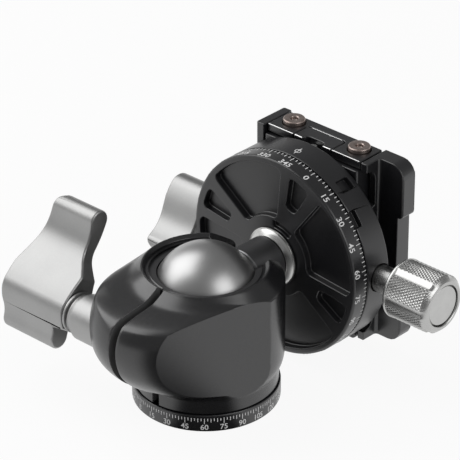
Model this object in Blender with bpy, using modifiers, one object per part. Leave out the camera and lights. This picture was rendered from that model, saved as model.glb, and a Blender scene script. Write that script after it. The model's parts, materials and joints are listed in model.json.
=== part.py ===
"""Ball head for a camera support, modelled at real size in metres, +Z up.

The origin is the centre of the mounting face under the base.  The ball is
tilted so that its stem points along +Y, with the top clamp facing the side.
"""

import math

import bmesh
import bpy
from mathutils import Matrix, Vector

# ---------------------------------------------------------------- general
GAP = 0.0003
OVERRUN = 0.003
WELD = 0.000001
SHARP_ANGLE = math.radians(30)
ARC_STEP = math.radians(7)
LARGE_STEPS = 60
MEDIUM_STEPS = 32
SMALL_STEPS = 20

# ---------------------------------------------------------------- base
BASE_RADIUS = 0.0240
BASE_HEIGHT = 0.0060
BASE_CHAMFER = 0.0006
BASE_HUB_RADIUS = 0.0120
BASE_HUB_HEIGHT = 0.0153
BUSH_RADIUS = 0.0080
BUSH_HEIGHT = 0.0120
THREAD_RADIUS = 0.0042
BASE_NUT_WALL = 0.0024
BASE_NUT_RADIUS = BASE_HUB_RADIUS + GAP + BASE_NUT_WALL
BASE_NUT_HEIGHT = 0.0020

# ---------------------------------------------------------------- housing
NECK_RADIUS = 0.0234
NECK_HEIGHT = 0.0042
WALL_RADIUS = 0.0253
WALL_TOP = 0.0425
HOUSING_TOP = 0.0473
RIM_RADIUS = 0.0205
RIM_WIDTH = 0.0004
EAR_REACH = 0.0426
EAR_LEVEL = 0.0317
EAR_END_SHARE = 0.95
LEAST_REACH = 0.0001
FLOOR_LEVEL = 0.0127
SHELF_LEVEL = 0.0213
CHAMBER_RADIUS = BASE_NUT_RADIUS + GAP
CAVITY_RADIUS = 0.0184
LIP_RADIUS = 0.0179
LIP_LEVEL = 0.0455
FACET_DISTANCE = 0.0236
FACET_TURN = math.radians(-15)
FACET_REACH = 0.0500
SLOT_WIDTH = 0.0028
SLOT_START = 0.0100
NOTCH_HALF_WIDTH = 0.0089
NOTCH_FLARE_LEVEL = 0.0415
NOTCH_FLARE_HALF_WIDTH = 0.0127
NOTCH_START = 0.0060
ARC_STEPS = 40
END_STEPS = 16

# Heights of the housing's sections, as shares of the height from the neck to
# the ear's widest level and from there to the top of the wall, each with its
# radius and its reach toward the ear as shares of the full ones.
LOWER_SECTION_SHARES = (
    (0.0, 0.925, 0.0),
    (0.127, 0.968, 0.06),
    (0.231, 0.992, 0.30),
    (0.377, 1.0, 0.57),
    (0.590, 1.0, 0.81),
    (0.774, 1.0, 0.93),
    (1.0, 1.0, 1.0),
)
UPPER_SECTION_SHARES = (
    (0.269, 1.0, 0.99),
    (0.481, 1.0, 0.93),
    (0.620, 1.0, 0.85),
    (0.692, 1.0, 0.775),
)
# The cone above the wall: height and ear reach shares down to the rim.
CONE_SECTION_SHARES = (
    (0.19, 0.56),
    (0.35, 0.26),
    (0.48, 0.08),
    (1.0, 0.0),
)

# ---------------------------------------------------------------- ball
BALL_LEVEL = 0.0370
BALL_RADIUS = 0.01705
STEM_RADIUS = 0.0081
STEM_END = 0.0291
GROOVE_RADIUS = 0.0077
GROOVE_WIDTH = 0.0013
COLLAR_RADIUS = 0.0101
COLLAR_CONE = 0.0012
COLLAR_RIM = 0.0010
CUP_TOP = 0.0279
CUP_DEPTH_ARC = 0.0140
LINER_BOTTOM = 0.0385
SCREW_RADIUS = 0.0030
SCREW_DEPTH = 0.0074
SCREW_HEAD_RADIUS = 0.0055
SCREW_HEAD_HEIGHT = 0.0055
SCREW_SOCKET_RADIUS = 0.0028
SCREW_SOCKET_DEPTH = 0.0028

# ---------------------------------------------------------------- ball lock
LOCK_REACH = 0.0295
LOCK_LEVEL = 0.0315
LOCK_SEAT = 0.0120
LOCK_COLLAR_RADIUS = 0.0078
LOCK_COLLAR_FLARE = 0.0235
LOCK_COLLAR_WAIST = 0.0256
LOCK_COLLAR_WAIST_RADIUS = 0.0068
LOCK_HUB_START = 0.0285
LOCK_BOLT_RADIUS = 0.0030
LOCK_BOLT_DEPTH = 0.0065
LOCK_NUT_RADIUS = 0.0040
LOCK_NUT_PLACE = 0.0080
LOCK_NUT_HEIGHT = 0.0160
WING_LONG = 0.0290
WING_SHORT = 0.0111
WING_LONG_TURN = math.radians(55.9)
WING_SHORT_TURN = math.radians(254.0)
WING_LOBE_RADIUS = 0.0037
WING_LEANS = ((math.radians(-8), math.radians(26)), (0, 0))
WING_BEND_SHARE = 0.46
WING_HUB_SPREAD = math.radians(20)
WING_HUB_RADIUS = 0.0070
WING_START = 0.0335
WING_WIDTH_HUB = 0.0275
WING_WIDTH_TIP = 0.0220
WING_HOLLOW_RADIUS = 0.0080
WING_HOLLOW_RUN = 0.0100

# ---------------------------------------------------------------- pan disc
DISC_RADIUS = 0.0348
DISC_FACE = 0.0319
DISC_THICKNESS = 0.0062
DISC_CHAMFER = 0.0005
DISC_HUB_RADIUS = 0.0120
DISC_HUB_END = 0.0490
DISC_FLOOR = 0.0407
POCKET_DEPTH = 0.0024
POCKET_COUNT = 4
POCKET_OUTER_RADIUS = 0.0326
POCKET_INNER_RADIUS = 0.0142
POCKET_TURN = math.radians(-24.3)
POCKET_HALF_ANGLE = math.radians(29.2)
POCKET_CORNER = 0.0020
EYE_TURN = math.radians(19.8)
EYE_OUTER_RADIUS = 0.0318
EYE_INNER_RADIUS = 0.0205
EYE_HALF_ANGLE = math.radians(7.6)
EYE_INNER_HALF_ANGLE = math.radians(5.7)
EYE_CORNER = 0.0016
EYE_INNER_CORNER = 0.0016
GROOVE_POCKET_TURNS = (math.radians(17), math.radians(197))
GROOVE_POCKET_INNER = 0.0106
GROOVE_POCKET_OUTER = 0.0131
GROOVE_POCKET_HALF_ANGLE = math.radians(19)
GROOVE_POCKET_DEPTH = 0.0015
GROOVE_POCKET_CORNER = 0.0008

# ---------------------------------------------------------------- pan body
BODY_TOP = 0.0490
BODY_CHAMFER = 0.0006
BODY_FLANGE = 0.0085
PAN_NUT_RADIUS = 0.0150
CROSS_LEVEL = 0.0446
POCKET_HALF_LENGTH = 0.0172
POCKET_TRAVEL = 0.0033
WINDOW_TURN = math.radians(52)
WINDOW_WIDTH = 0.0060
WINDOW_HEIGHT = 0.0036
WINDOW_DEPTH = 0.0020

# ---------------------------------------------------------------- pan lock
PAN_LOCK_SEAT = 0.0190
PAN_LOCK_SCREW_RADIUS = 0.0028
PAN_LOCK_COLLAR_RADIUS = 0.0045
PAN_LOCK_STAND = 0.0034
PAN_LOCK_START = DISC_RADIUS + PAN_LOCK_STAND
PAN_LOCK_WIDTH = 0.0163
PAN_LOCK_WIDTH_TIP = 0.0143
PAN_LOCK_DEPTH = 0.0078
PAN_LOCK_HUB_RADIUS = 0.0052
PAN_LOCK_LONG = 0.0202
PAN_LOCK_TURN = math.radians(219.8)
PAN_LOCK_LOBE_RADIUS = 0.0024
PAN_LOCK_LEANS = ((math.radians(20), math.radians(20)),)
PAN_LOCK_HUB_SPREAD = math.radians(99)
BRAKE_RADIUS = 0.0016

# ---------------------------------------------------------------- clamp
CLAMP_HALF_LENGTH = 0.03265
CLAMP_LEVEL = 0.03845
BED_HALF_WIDTH = 0.0198
BED_TOP = 0.0596
BED_CHAMFER = 0.0005
JAW_TOP = 0.0630
JAW_LIP = 0.0030
FIXED_JAW_THICKNESS = 0.0034
END_PLATE_THICKNESS = 0.0028
END_PLATE_TOP = 0.0620
END_PLATE_BOTTOM = 0.0509
TONGUE_LOW = -0.0085
TONGUE_HIGH = 0.0075
TONGUE_TOP = 0.0581
TONGUE_CORNER = 0.0012
TONGUE_LEG = 0.0037
TONGUE_ARCH = 0.0019
STOP_PIN_RADIUS = 0.0014
STOP_PIN_PLACE = -0.0005
STOP_PIN_LEVEL = 0.0514
STOP_PIN_LENGTH = 0.0085
END_SCREW_PLACE = 0.0140
END_SCREW_LEVEL = 0.0573
END_SCREW_RADIUS = 0.0015
END_SCREW_HEAD_RADIUS = 0.0037
END_SCREW_HEAD_HEIGHT = 0.0027
END_SCREW_LENGTH = 0.0110
END_SCREW_SEAT = 0.0015
END_SCREW_SOCKET_RADIUS = 0.0015
END_SCREW_SOCKET_DEPTH = 0.0014
MOUNT_SCREW_SPACING = 0.0190
MOUNT_SCREW_RADIUS = 0.0020
MOUNT_SCREW_HEAD_RADIUS = 0.0036
MOUNT_SCREW_HEAD_HEIGHT = 0.0033
MOUNT_SCREW_DEPTH = 0.0070
MOUNT_SCREW_SINK = 0.0004
JAW_SCREW_SPACING = 0.0155
JAW_SCREW_LEVEL = 0.0545
JAW_SCREW_RADIUS = 0.0015
JAW_SCREW_HEAD_RADIUS = 0.0028
JAW_SCREW_HEAD_HEIGHT = 0.0016
JAW_SCREW_LENGTH = 0.0100
JAW_GAP = 0.0006
LEG_THICKNESS = 0.0026
LEG_BOTTOM = 0.0506
TAB_BOTTOM = 0.0402
TAB_HALF_LENGTH = 0.0140
TOE_LEVEL = 0.0536
TOE_LENGTH = 0.0037
TOE_CORNER = 0.0007
RECESS_LEVEL = 0.0550
RECESS_CORNER = 0.0035
RECESS_MARGIN = 0.0032
FLANGE_REACH = 0.0126
FLANGE_LEVEL = 0.0569
FLANGE_FILLET = 0.0010
FLANGE_WAIST = 0.0020
FLANGE_LENGTH = 0.0190
FLANGE_CORNER = 0.0050
WAIST_CORNER = 0.0016
GUIDE_SPACING = 0.0090
GUIDE_RADIUS = 0.0012
GUIDE_START = 0.0165
GUIDE_LENGTH = 0.0130

# ---------------------------------------------------------------- clamp knob
KNOB_STAND = 0.0087
KNOB_START = DISC_RADIUS + KNOB_STAND
KNOB_LENGTH = 0.0175
KNOB_RADIUS = 0.0100
KNOB_CHAMFER = 0.0018
KNOB_BACK_CHAMFER = 0.0006
KNOB_CAP_RADIUS = 0.0068
KNOB_CAP_THICKNESS = 0.0016
KNOB_CAP_SINK = 0.0005
KNOB_SLEEVE_RADIUS = 0.0045
KNOB_SCREW_RADIUS = 0.0029
KNOB_SCREW_END = 0.0168
KNOB_SCREW_DEPTH = 0.0065
FLUTE_COUNT = 6
FLUTE_RADIUS = 0.0042
FLUTE_DEPTH = 0.0006
FLUTE_START = 0.0012

# ---------------------------------------------------------------- directions
ORIGIN = Vector((0, 0, 0))
X_AXIS = Vector((1, 0, 0))
Y_AXIS = Vector((0, 1, 0))
Z_AXIS = Vector((0, 0, 1))


def facing(right, up):
    """The turn that lays an outline's own x and y along two directions."""
    return Matrix((right, up, right.cross(up))).transposed()


ALONG_X = facing(Y_AXIS, Z_AXIS)
ALONG_Y = facing(Z_AXIS, X_AXIS)
ALONG_Z = facing(X_AXIS, Y_AXIS)
SEEN_FROM_FRONT = facing(X_AXIS, Z_AXIS)


# ---------------------------------------------------------------- tools
def clear_scene():
    for item in list(bpy.data.objects):
        bpy.data.objects.remove(item)


def new_collection(name):
    collection = bpy.data.collections.new(name)
    bpy.context.scene.collection.children.link(collection)
    return collection


clear_scene()
PARTS = new_collection("ball_head")
CUTTERS = new_collection("cutters")


def finish(name, colour, roughness, metallic):
    """A Principled material with one colour."""
    made = bpy.data.materials.new(name)
    made.use_nodes = True
    shader = made.node_tree.nodes["Principled BSDF"]
    shader.inputs["Base Color"].default_value = (*colour, 1)
    shader.inputs["Roughness"].default_value = roughness
    shader.inputs["Metallic"].default_value = metallic
    made.diffuse_color = (*colour, 1)
    return made


BLACK_SHARE = (0.020, 0.020, 0.023)
SATIN_SHARE = (0.42, 0.42, 0.42)
BRIGHT_SHARE = (0.62, 0.62, 0.61)
BROWN_SHARE = (0.20, 0.15, 0.13)
BALL_SHARE = (0.30, 0.30, 0.31)
LINER_SHARE = (0.010, 0.010, 0.010)


def body(name, place):
    """An empty on a joint's axis, which carries the pieces of one moving body."""
    made = bpy.data.objects.new(name, None)
    made.location = place
    made.empty_display_size = BASE_HEIGHT
    PARTS.objects.link(made)
    return made


def evaluated_mesh(source):
    """The mesh of an object with its modifiers done; the object itself goes."""
    bpy.context.view_layer.update()
    depsgraph = bpy.context.evaluated_depsgraph_get()
    mesh = bpy.data.meshes.new_from_object(source.evaluated_get(depsgraph))
    bpy.data.objects.remove(source)
    form = bmesh.new()
    form.from_mesh(mesh)
    bmesh.ops.remove_doubles(form, verts=form.verts, dist=WELD)
    bmesh.ops.recalc_face_normals(form, faces=form.faces)
    form.to_mesh(mesh)
    form.free()
    mesh.shade_smooth()
    mesh.set_sharp_from_angle(angle=SHARP_ANGLE)
    return mesh


def turned(profile, steps):
    """A turned mesh about its own z, from (radius, height) points.

    A profile that starts and ends on the axis is solid; any other is a ring.
    """
    twice_area = 0
    count = len(profile)
    for index, (radius, height) in enumerate(profile):
        next_radius, next_height = profile[(index + 1) % count]
        twice_area += radius * next_height - next_radius * height
    points = list(profile) if twice_area < 0 else list(reversed(profile))
    solid = points[0][0] == 0 and points[-1][0] == 0
    form = bmesh.new()
    row = [form.verts.new((radius, 0, height)) for radius, height in points]
    for first, second in zip(row, row[1:]):
        form.edges.new((first, second))
    if not solid:
        form.edges.new((row[-1], row[0]))
    mesh = bpy.data.meshes.new("profile")
    form.to_mesh(mesh)
    form.free()
    source = bpy.data.objects.new("profile", mesh)
    PARTS.objects.link(source)
    screw = source.modifiers.new("Screw", "SCREW")
    screw.steps = steps
    screw.render_steps = steps
    screw.use_merge_vertices = True
    screw.merge_threshold = WELD
    return evaluated_mesh(source)


def prism(points, thickness):
    """A flat outline with an even thickness about its own plane."""
    curve = bpy.data.curves.new("outline", "CURVE")
    curve.dimensions = "2D"
    curve.fill_mode = "BOTH"
    curve.extrude = thickness / 2
    spline = curve.splines.new("POLY")
    spline.points.add(len(points) - 1)
    for point, (across, up) in zip(spline.points, points):
        point.co = (across, up, 0, 1)
    spline.use_cyclic_u = True
    source = bpy.data.objects.new("outline", curve)
    PARTS.objects.link(source)
    return evaluated_mesh(source)


def cylinder(radius, length, steps):
    mesh = bpy.data.meshes.new("cylinder")
    form = bmesh.new()
    bmesh.ops.create_cone(
        form,
        cap_ends=True,
        segments=steps,
        radius1=radius,
        radius2=radius,
        depth=length,
    )
    form.to_mesh(mesh)
    form.free()
    mesh.shade_smooth()
    mesh.set_sharp_from_angle(angle=SHARP_ANGLE)
    return mesh


def block(size):
    mesh = bpy.data.meshes.new("block")
    form = bmesh.new()
    bmesh.ops.create_cube(form, size=1)
    bmesh.ops.scale(form, vec=size, verts=form.verts)
    form.to_mesh(mesh)
    form.free()
    return mesh


def piece(name, mesh, look, carrier, place=ORIGIN, turn=ALONG_Z):
    """One named part, placed in world terms and carried by a body's empty."""
    mesh.name = name
    made = bpy.data.objects.new(name, mesh)
    PARTS.objects.link(made)
    made.parent = carrier
    made.location = place - carrier.location
    made.rotation_euler = turn.to_euler()
    colour, roughness, metallic = look
    mesh.materials.clear()
    mesh.materials.append(finish(name, colour, roughness, metallic))
    return made


def shape(target, mesh, place=ORIGIN, turn=ALONG_Z, operation="DIFFERENCE"):
    """Cut a target with a mesh, or join or intersect them."""
    tool = bpy.data.objects.new(target.name + "_tool", mesh)
    CUTTERS.objects.link(tool)
    tool.parent = target.parent
    tool.location = place - target.parent.location
    tool.rotation_euler = turn.to_euler()
    tool.hide_render = True
    tool.display_type = "WIRE"
    modifier = target.modifiers.new("Boolean", "BOOLEAN")
    modifier.operation = operation
    modifier.object = tool
    return tool


def drill(target, radius, start, end, turn, steps=SMALL_STEPS):
    """A round hole between two points on a line along the turn's own z."""
    start = Vector(start)
    end = Vector(end)
    hole = cylinder(radius, (end - start).length, steps)
    return shape(target, hole, (start + end) / 2, turn)


def mill(target, low, high):
    """A box-shaped cut between two corners."""
    low = Vector(low)
    high = Vector(high)
    return shape(target, block(high - low), (low + high) / 2)


def arc(centre, radius, start, end, steps):
    """Points along an arc, with angles counted from the outline's own x."""
    across, up = centre
    points = []
    for index in range(steps + 1):
        angle = start + (end - start) * index / steps
        points.append(
            (across + radius * math.cos(angle), up + radius * math.sin(angle))
        )
    return points


def rounded(corners, steps=4):
    """An outline with round corners, from (across, up, radius) corners."""
    points = []
    count = len(corners)
    for index, (across, up, radius) in enumerate(corners):
        here = Vector((across, up))
        if radius == 0:
            points.append((across, up))
            continue
        before = (Vector(corners[index - 1][:2]) - here).normalized()
        after = (Vector(corners[(index + 1) % count][:2]) - here).normalized()
        half = before.angle(after) / 2
        inward = (before + after).normalized()
        centre = here + inward * (radius / math.sin(half))
        touch = radius / math.tan(half)
        first = here + before * touch - centre
        last = here + after * touch - centre
        turn = first.angle_signed(last)
        for step in range(steps + 1):
            spoke = Matrix.Rotation(-turn * step / steps, 2) @ first
            points.append(tuple(centre + spoke))
    return points


def arc_side(radius, start, end, corner):
    """One side of a ring sector as corners: round at its ends, plain between."""
    inset = 1.6 * corner / radius
    span = abs(end - start) - 2 * inset
    steps = max(1, round(span / ARC_STEP))
    way = 1 if end > start else -1
    angles = [start]
    if span > inset:
        for index in range(steps + 1):
            angles.append(start + way * (inset + span * index / steps))
    angles.append(end)
    corners = []
    for angle in angles:
        rounding = corner if angle in (start, end) else 0
        corners.append((radius * math.sin(angle), radius * math.cos(angle), rounding))
    return corners


def sector(outer_side, inner_side, turn):
    """A ring sector with round corners, seen from the front.

    Each side is (radius, half angle, corner radius).  Angles count from
    straight up toward the right.
    """
    radius, half_angle, corner = outer_side
    corners = arc_side(radius, turn - half_angle, turn + half_angle, corner)
    radius, half_angle, corner = inner_side
    corners += arc_side(radius, turn + half_angle, turn - half_angle, corner)
    return rounded(corners)


def socket_screw(radius, length, head_radius, head_height, steps=SMALL_STEPS):
    """A cap screw about its own z: the head's underside is at zero height."""
    return turned(
        (
            (0, head_height),
            (head_radius, head_height),
            (head_radius, 0),
            (radius, 0),
            (radius, -length),
            (0, -length),
        ),
        steps,
    )


def socket(target, radius, depth, top, turn):
    """A six-sided recess whose mouth is centred on a point."""
    axis = turn @ Z_AXIS
    start = top + axis * OVERRUN
    end = top - axis * depth
    return drill(target, radius, start, end, turn, steps=6)


# ---------------------------------------------------------------- bodies
BALL_CENTRE = Vector((0, 0, BALL_LEVEL))
LOCK_CENTRE = Vector((0, -LOCK_REACH, LOCK_LEVEL))
CROSS_CENTRE = Vector((0, CROSS_LEVEL, BALL_LEVEL))
DISC_BACK = DISC_FACE + DISC_THICKNESS
BODY_BOTTOM = DISC_BACK + GAP
BODY_LEDGE = BODY_BOTTOM + BODY_FLANGE
BED_BOTTOM = BODY_TOP + GAP

base = body("base", ORIGIN)
housing = body("housing", ORIGIN)
lock = body("ball_lock", LOCK_CENTRE)
ball = body("ball", BALL_CENTRE)
pan = body("pan", BALL_CENTRE)
pan_lock = body("pan_lock", CROSS_CENTRE)
jaw = body("jaw", CROSS_CENTRE)
knob = body("knob", CROSS_CENTRE)
for carried, carrier in (
    (housing, base),
    (lock, housing),
    (ball, housing),
    (pan, ball),
    (pan_lock, pan),
    (jaw, pan),
    (knob, jaw),
):
    carried.parent = carrier
    carried.matrix_parent_inverse = Matrix.Translation(-carrier.location)

BLACK = (BLACK_SHARE, 0.42, 0.6)
SATIN = (SATIN_SHARE, 0.32, 1.0)
BRIGHT = (BRIGHT_SHARE, 0.22, 1.0)
BROWN = (BROWN_SHARE, 0.35, 1.0)
BRUSHED = (BALL_SHARE, 0.30, 1.0)
DARK = (LINER_SHARE, 0.60, 0.0)


# ---------------------------------------------------------------- base
def make_base():
    bore = BUSH_RADIUS + GAP
    piece(
        "base_ring",
        turned(
            (
                (BASE_HUB_RADIUS, BASE_HUB_HEIGHT),
                (BASE_HUB_RADIUS, BASE_HEIGHT),
                (BASE_RADIUS - BASE_CHAMFER, BASE_HEIGHT),
                (BASE_RADIUS, BASE_HEIGHT - BASE_CHAMFER),
                (BASE_RADIUS, BASE_CHAMFER),
                (BASE_RADIUS - BASE_CHAMFER, 0),
                (bore, 0),
                (bore, BASE_HUB_HEIGHT),
            ),
            LARGE_STEPS,
        ),
        BLACK,
        base,
    )
    piece(
        "tripod_bush",
        turned(
            (
                (BUSH_RADIUS, BUSH_HEIGHT),
                (BUSH_RADIUS, GAP),
                (THREAD_RADIUS, GAP),
                (THREAD_RADIUS, BUSH_HEIGHT),
            ),
            MEDIUM_STEPS,
        ),
        BRIGHT,
        base,
    )
    nut_bottom = FLOOR_LEVEL + GAP
    nut_bore = BASE_HUB_RADIUS + GAP
    piece(
        "base_retainer",
        turned(
            (
                (BASE_NUT_RADIUS, nut_bottom + BASE_NUT_HEIGHT),
                (BASE_NUT_RADIUS, nut_bottom),
                (nut_bore, nut_bottom),
                (nut_bore, nut_bottom + BASE_NUT_HEIGHT),
            ),
            MEDIUM_STEPS,
        ),
        BRIGHT,
        base,
    )


# ---------------------------------------------------------------- housing
def housing_sections():
    """Each section's height, round radius and reach toward the ear."""
    neck_bottom = BASE_HEIGHT + GAP
    skirt_bottom = neck_bottom + NECK_HEIGHT
    reach = EAR_REACH - WALL_RADIUS
    sections = [(neck_bottom, NECK_RADIUS, 0)]
    for height_share, radius_share, reach_share in LOWER_SECTION_SHARES:
        height = skirt_bottom + (EAR_LEVEL - skirt_bottom) * height_share
        radius = WALL_RADIUS * radius_share
        if height_share == 0:
            radius = NECK_RADIUS
        sections.append((height, radius, reach * reach_share))
    for height_share, radius_share, reach_share in UPPER_SECTION_SHARES:
        height = EAR_LEVEL + (HOUSING_TOP - EAR_LEVEL) * height_share
        sections.append((height, WALL_RADIUS * radius_share, reach * reach_share))
    for height_share, reach_share in CONE_SECTION_SHARES:
        height = WALL_TOP + (HOUSING_TOP - WALL_TOP) * height_share
        radius = WALL_RADIUS + (RIM_RADIUS - WALL_RADIUS) * height_share
        sections.append((height, radius, reach * reach_share))
    return sections


def housing_outline(radius, reach):
    """The round wall and the smaller round end of the ear, with tangents."""
    end_radius = radius * EAR_END_SHARE
    offset = radius + max(reach, LEAST_REACH) - end_radius
    lean = math.asin((radius - end_radius) / offset)
    points = arc((0, 0), radius, -lean, math.pi + lean, ARC_STEPS)
    points += arc((0, -offset), end_radius, lean - math.pi, -lean, END_STEPS)
    return points


def make_housing():
    form = bmesh.new()
    rings = []
    for height, radius, reach in housing_sections():
        outline = housing_outline(radius, reach)
        rings.append([form.verts.new((*point, height)) for point in outline])
    count = len(rings[0])
    for low, high in zip(rings, rings[1:]):
        for index in range(count):
            after = (index + 1) % count
            form.faces.new((low[index], low[after], high[after], high[index]))
    form.faces.new(list(reversed(rings[0])))
    form.faces.new(rings[-1])
    mesh = bpy.data.meshes.new("housing")
    form.to_mesh(mesh)
    form.free()
    mesh.shade_smooth()
    mesh.set_sharp_from_angle(angle=SHARP_ANGLE)
    made = piece("ball_housing", mesh, BLACK, housing)

    neck_bore = BASE_HUB_RADIUS + GAP
    above = HOUSING_TOP + OVERRUN
    shape(
        made,
        turned(
            (
                (0, above),
                (RIM_RADIUS - RIM_WIDTH, above),
                (RIM_RADIUS - RIM_WIDTH, HOUSING_TOP),
                (LIP_RADIUS, LIP_LEVEL),
                (CAVITY_RADIUS, LIP_LEVEL),
                (CAVITY_RADIUS, SHELF_LEVEL),
                (CHAMBER_RADIUS, SHELF_LEVEL),
                (CHAMBER_RADIUS, FLOOR_LEVEL),
                (neck_bore, FLOOR_LEVEL),
                (neck_bore, BASE_HEIGHT - OVERRUN),
                (0, BASE_HEIGHT - OVERRUN),
            ),
            LARGE_STEPS,
        ),
    )

    facet = Matrix.Rotation(FACET_TURN, 3, "Z")
    middle = facet @ Vector((FACET_DISTANCE + FACET_REACH / 2, 0, 0))
    height = HOUSING_TOP + 2 * OVERRUN
    middle.z = height / 2
    shape(
        made,
        block(Vector((FACET_REACH, 2 * EAR_REACH + FACET_REACH, height))),
        middle,
        facet,
    )
    mill(
        made,
        (-SLOT_WIDTH / 2, -EAR_REACH - OVERRUN, BASE_HEIGHT - OVERRUN),
        (SLOT_WIDTH / 2, -SLOT_START, HOUSING_TOP + OVERRUN),
    )
    notch(made)

    nut_bore = LOCK_NUT_RADIUS + GAP
    drill(
        made,
        nut_bore,
        (LOCK_NUT_PLACE, -LOCK_REACH, BASE_HEIGHT),
        (LOCK_NUT_PLACE, -LOCK_REACH, LOCK_LEVEL + LOCK_NUT_HEIGHT / 2 + GAP),
        ALONG_Z,
    )
    drill(
        made,
        LOCK_BOLT_RADIUS + GAP,
        (-WALL_RADIUS, -LOCK_REACH, LOCK_LEVEL),
        (LOCK_NUT_PLACE + LOCK_NUT_RADIUS, -LOCK_REACH, LOCK_LEVEL),
        ALONG_X,
    )
    drill(
        made,
        LOCK_COLLAR_RADIUS + GAP,
        (-WALL_RADIUS - OVERRUN, -LOCK_REACH, LOCK_LEVEL),
        (-LOCK_SEAT, -LOCK_REACH, LOCK_LEVEL),
        ALONG_X,
        MEDIUM_STEPS,
    )

    seat = BALL_RADIUS + GAP
    cup_radius = CAVITY_RADIUS - GAP
    cup_bottom = SHELF_LEVEL + GAP
    inner = []
    for index in range(9):
        rise = CUP_DEPTH_ARC + (BALL_LEVEL - CUP_TOP - CUP_DEPTH_ARC) * index / 8
        inner.append((math.sqrt(seat**2 - rise**2), BALL_LEVEL - rise))
    piece(
        "ball_cup",
        turned(
            [(cup_radius, CUP_TOP), (cup_radius, cup_bottom)]
            + [(inner[0][0], cup_bottom)]
            + inner,
            MEDIUM_STEPS,
        ),
        DARK,
        housing,
    )
    liner_top = LIP_LEVEL - GAP
    inner = []
    for index in range(7):
        height = LINER_BOTTOM + (liner_top - LINER_BOTTOM) * index / 6
        inner.append((math.sqrt(seat**2 - (height - BALL_LEVEL) ** 2), height))
    liner = piece(
        "ball_liner",
        turned(
            [(cup_radius, liner_top), (cup_radius, LINER_BOTTOM)] + inner,
            LARGE_STEPS,
        ),
        DARK,
        housing,
    )
    notch(liner)

    nut = piece(
        "lock_barrel_nut",
        cylinder(LOCK_NUT_RADIUS, LOCK_NUT_HEIGHT, MEDIUM_STEPS),
        BRIGHT,
        housing,
        Vector((LOCK_NUT_PLACE, -LOCK_REACH, LOCK_LEVEL)),
    )
    drill(
        nut,
        LOCK_BOLT_RADIUS + GAP,
        (LOCK_NUT_PLACE - LOCK_NUT_RADIUS - OVERRUN, -LOCK_REACH, LOCK_LEVEL),
        (LOCK_NUT_PLACE + LOCK_NUT_RADIUS + OVERRUN, -LOCK_REACH, LOCK_LEVEL),
        ALONG_X,
    )


def notch(target):
    """The drop notch on the stem's side: a U that flares at its top edges."""
    slope = NOTCH_FLARE_HALF_WIDTH - NOTCH_HALF_WIDTH
    slope /= HOUSING_TOP - NOTCH_FLARE_LEVEL
    top = HOUSING_TOP + OVERRUN
    top_half_width = NOTCH_FLARE_HALF_WIDTH + slope * OVERRUN
    centre = (0, BALL_LEVEL)
    outline = arc(centre, NOTCH_HALF_WIDTH, math.pi, 2 * math.pi, MEDIUM_STEPS // 2)
    outline += [
        (NOTCH_HALF_WIDTH, NOTCH_FLARE_LEVEL),
        (top_half_width, top),
        (-top_half_width, top),
        (-NOTCH_HALF_WIDTH, NOTCH_FLARE_LEVEL),
    ]
    end = WALL_RADIUS + OVERRUN
    length = end - NOTCH_START
    place = Vector((0, NOTCH_START + length / 2, 0))
    shape(target, prism(outline, length), place, SEEN_FROM_FRONT)


# ---------------------------------------------------------------- ball lock
def bend(start, start_turn, end, end_turn, steps):
    """Points on a smooth curve between two points, which are left out."""
    start = Vector(start)
    end = Vector(end)
    reach = (end - start).length * WING_BEND_SHARE
    first = start + Vector((math.cos(start_turn), math.sin(start_turn))) * reach
    last = end - Vector((math.cos(end_turn), math.sin(end_turn))) * reach
    points = []
    for index in range(1, steps):
        after = index / steps
        before = 1 - after
        point = start * before**3 + first * (3 * before**2 * after)
        point += last * (3 * before * after**2) + end * after**3
        points.append(tuple(point))
    return points


def wing(reaches, turns, leans, lobe, hub, hub_spread):
    """A lever's outline: one or two round lobes that bend smoothly to the hub.

    Each lobe's two sides lean in by their own angles.
    """
    quarter = math.pi / 2
    outline = []
    for index, (reach, turn) in enumerate(zip(reaches, turns)):
        low_lean, lean = leans[index]
        centre = (reach * math.cos(turn), reach * math.sin(turn))
        start = turn - quarter - low_lean
        outline += arc(centre, lobe, start, turn + quarter + lean, 10)
        after = turns[(index + 1) % len(turns)]
        if after <= turn:
            after += 2 * math.pi
        middle = (turn + after) / 2
        hub_start = middle - hub_spread
        hub_end = middle + hub_spread
        hub_points = arc((0, 0), hub, hub_start, hub_end, 6)
        outline += bend(
            outline[-1], turn + lean + math.pi, hub_points[0], hub_start + quarter, 8
        )
        outline += hub_points
        reach_after = reaches[(index + 1) % len(reaches)]
        lean_after = leans[(index + 1) % len(leans)][0]
        spread = quarter + lean_after
        centre = (reach_after * math.cos(after), reach_after * math.sin(after))
        landing = (
            centre[0] + lobe * math.cos(after - spread),
            centre[1] + lobe * math.sin(after - spread),
        )
        outline += bend(
            hub_points[-1], hub_end + quarter, landing, after - lean_after, 8
        )
    return outline


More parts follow.
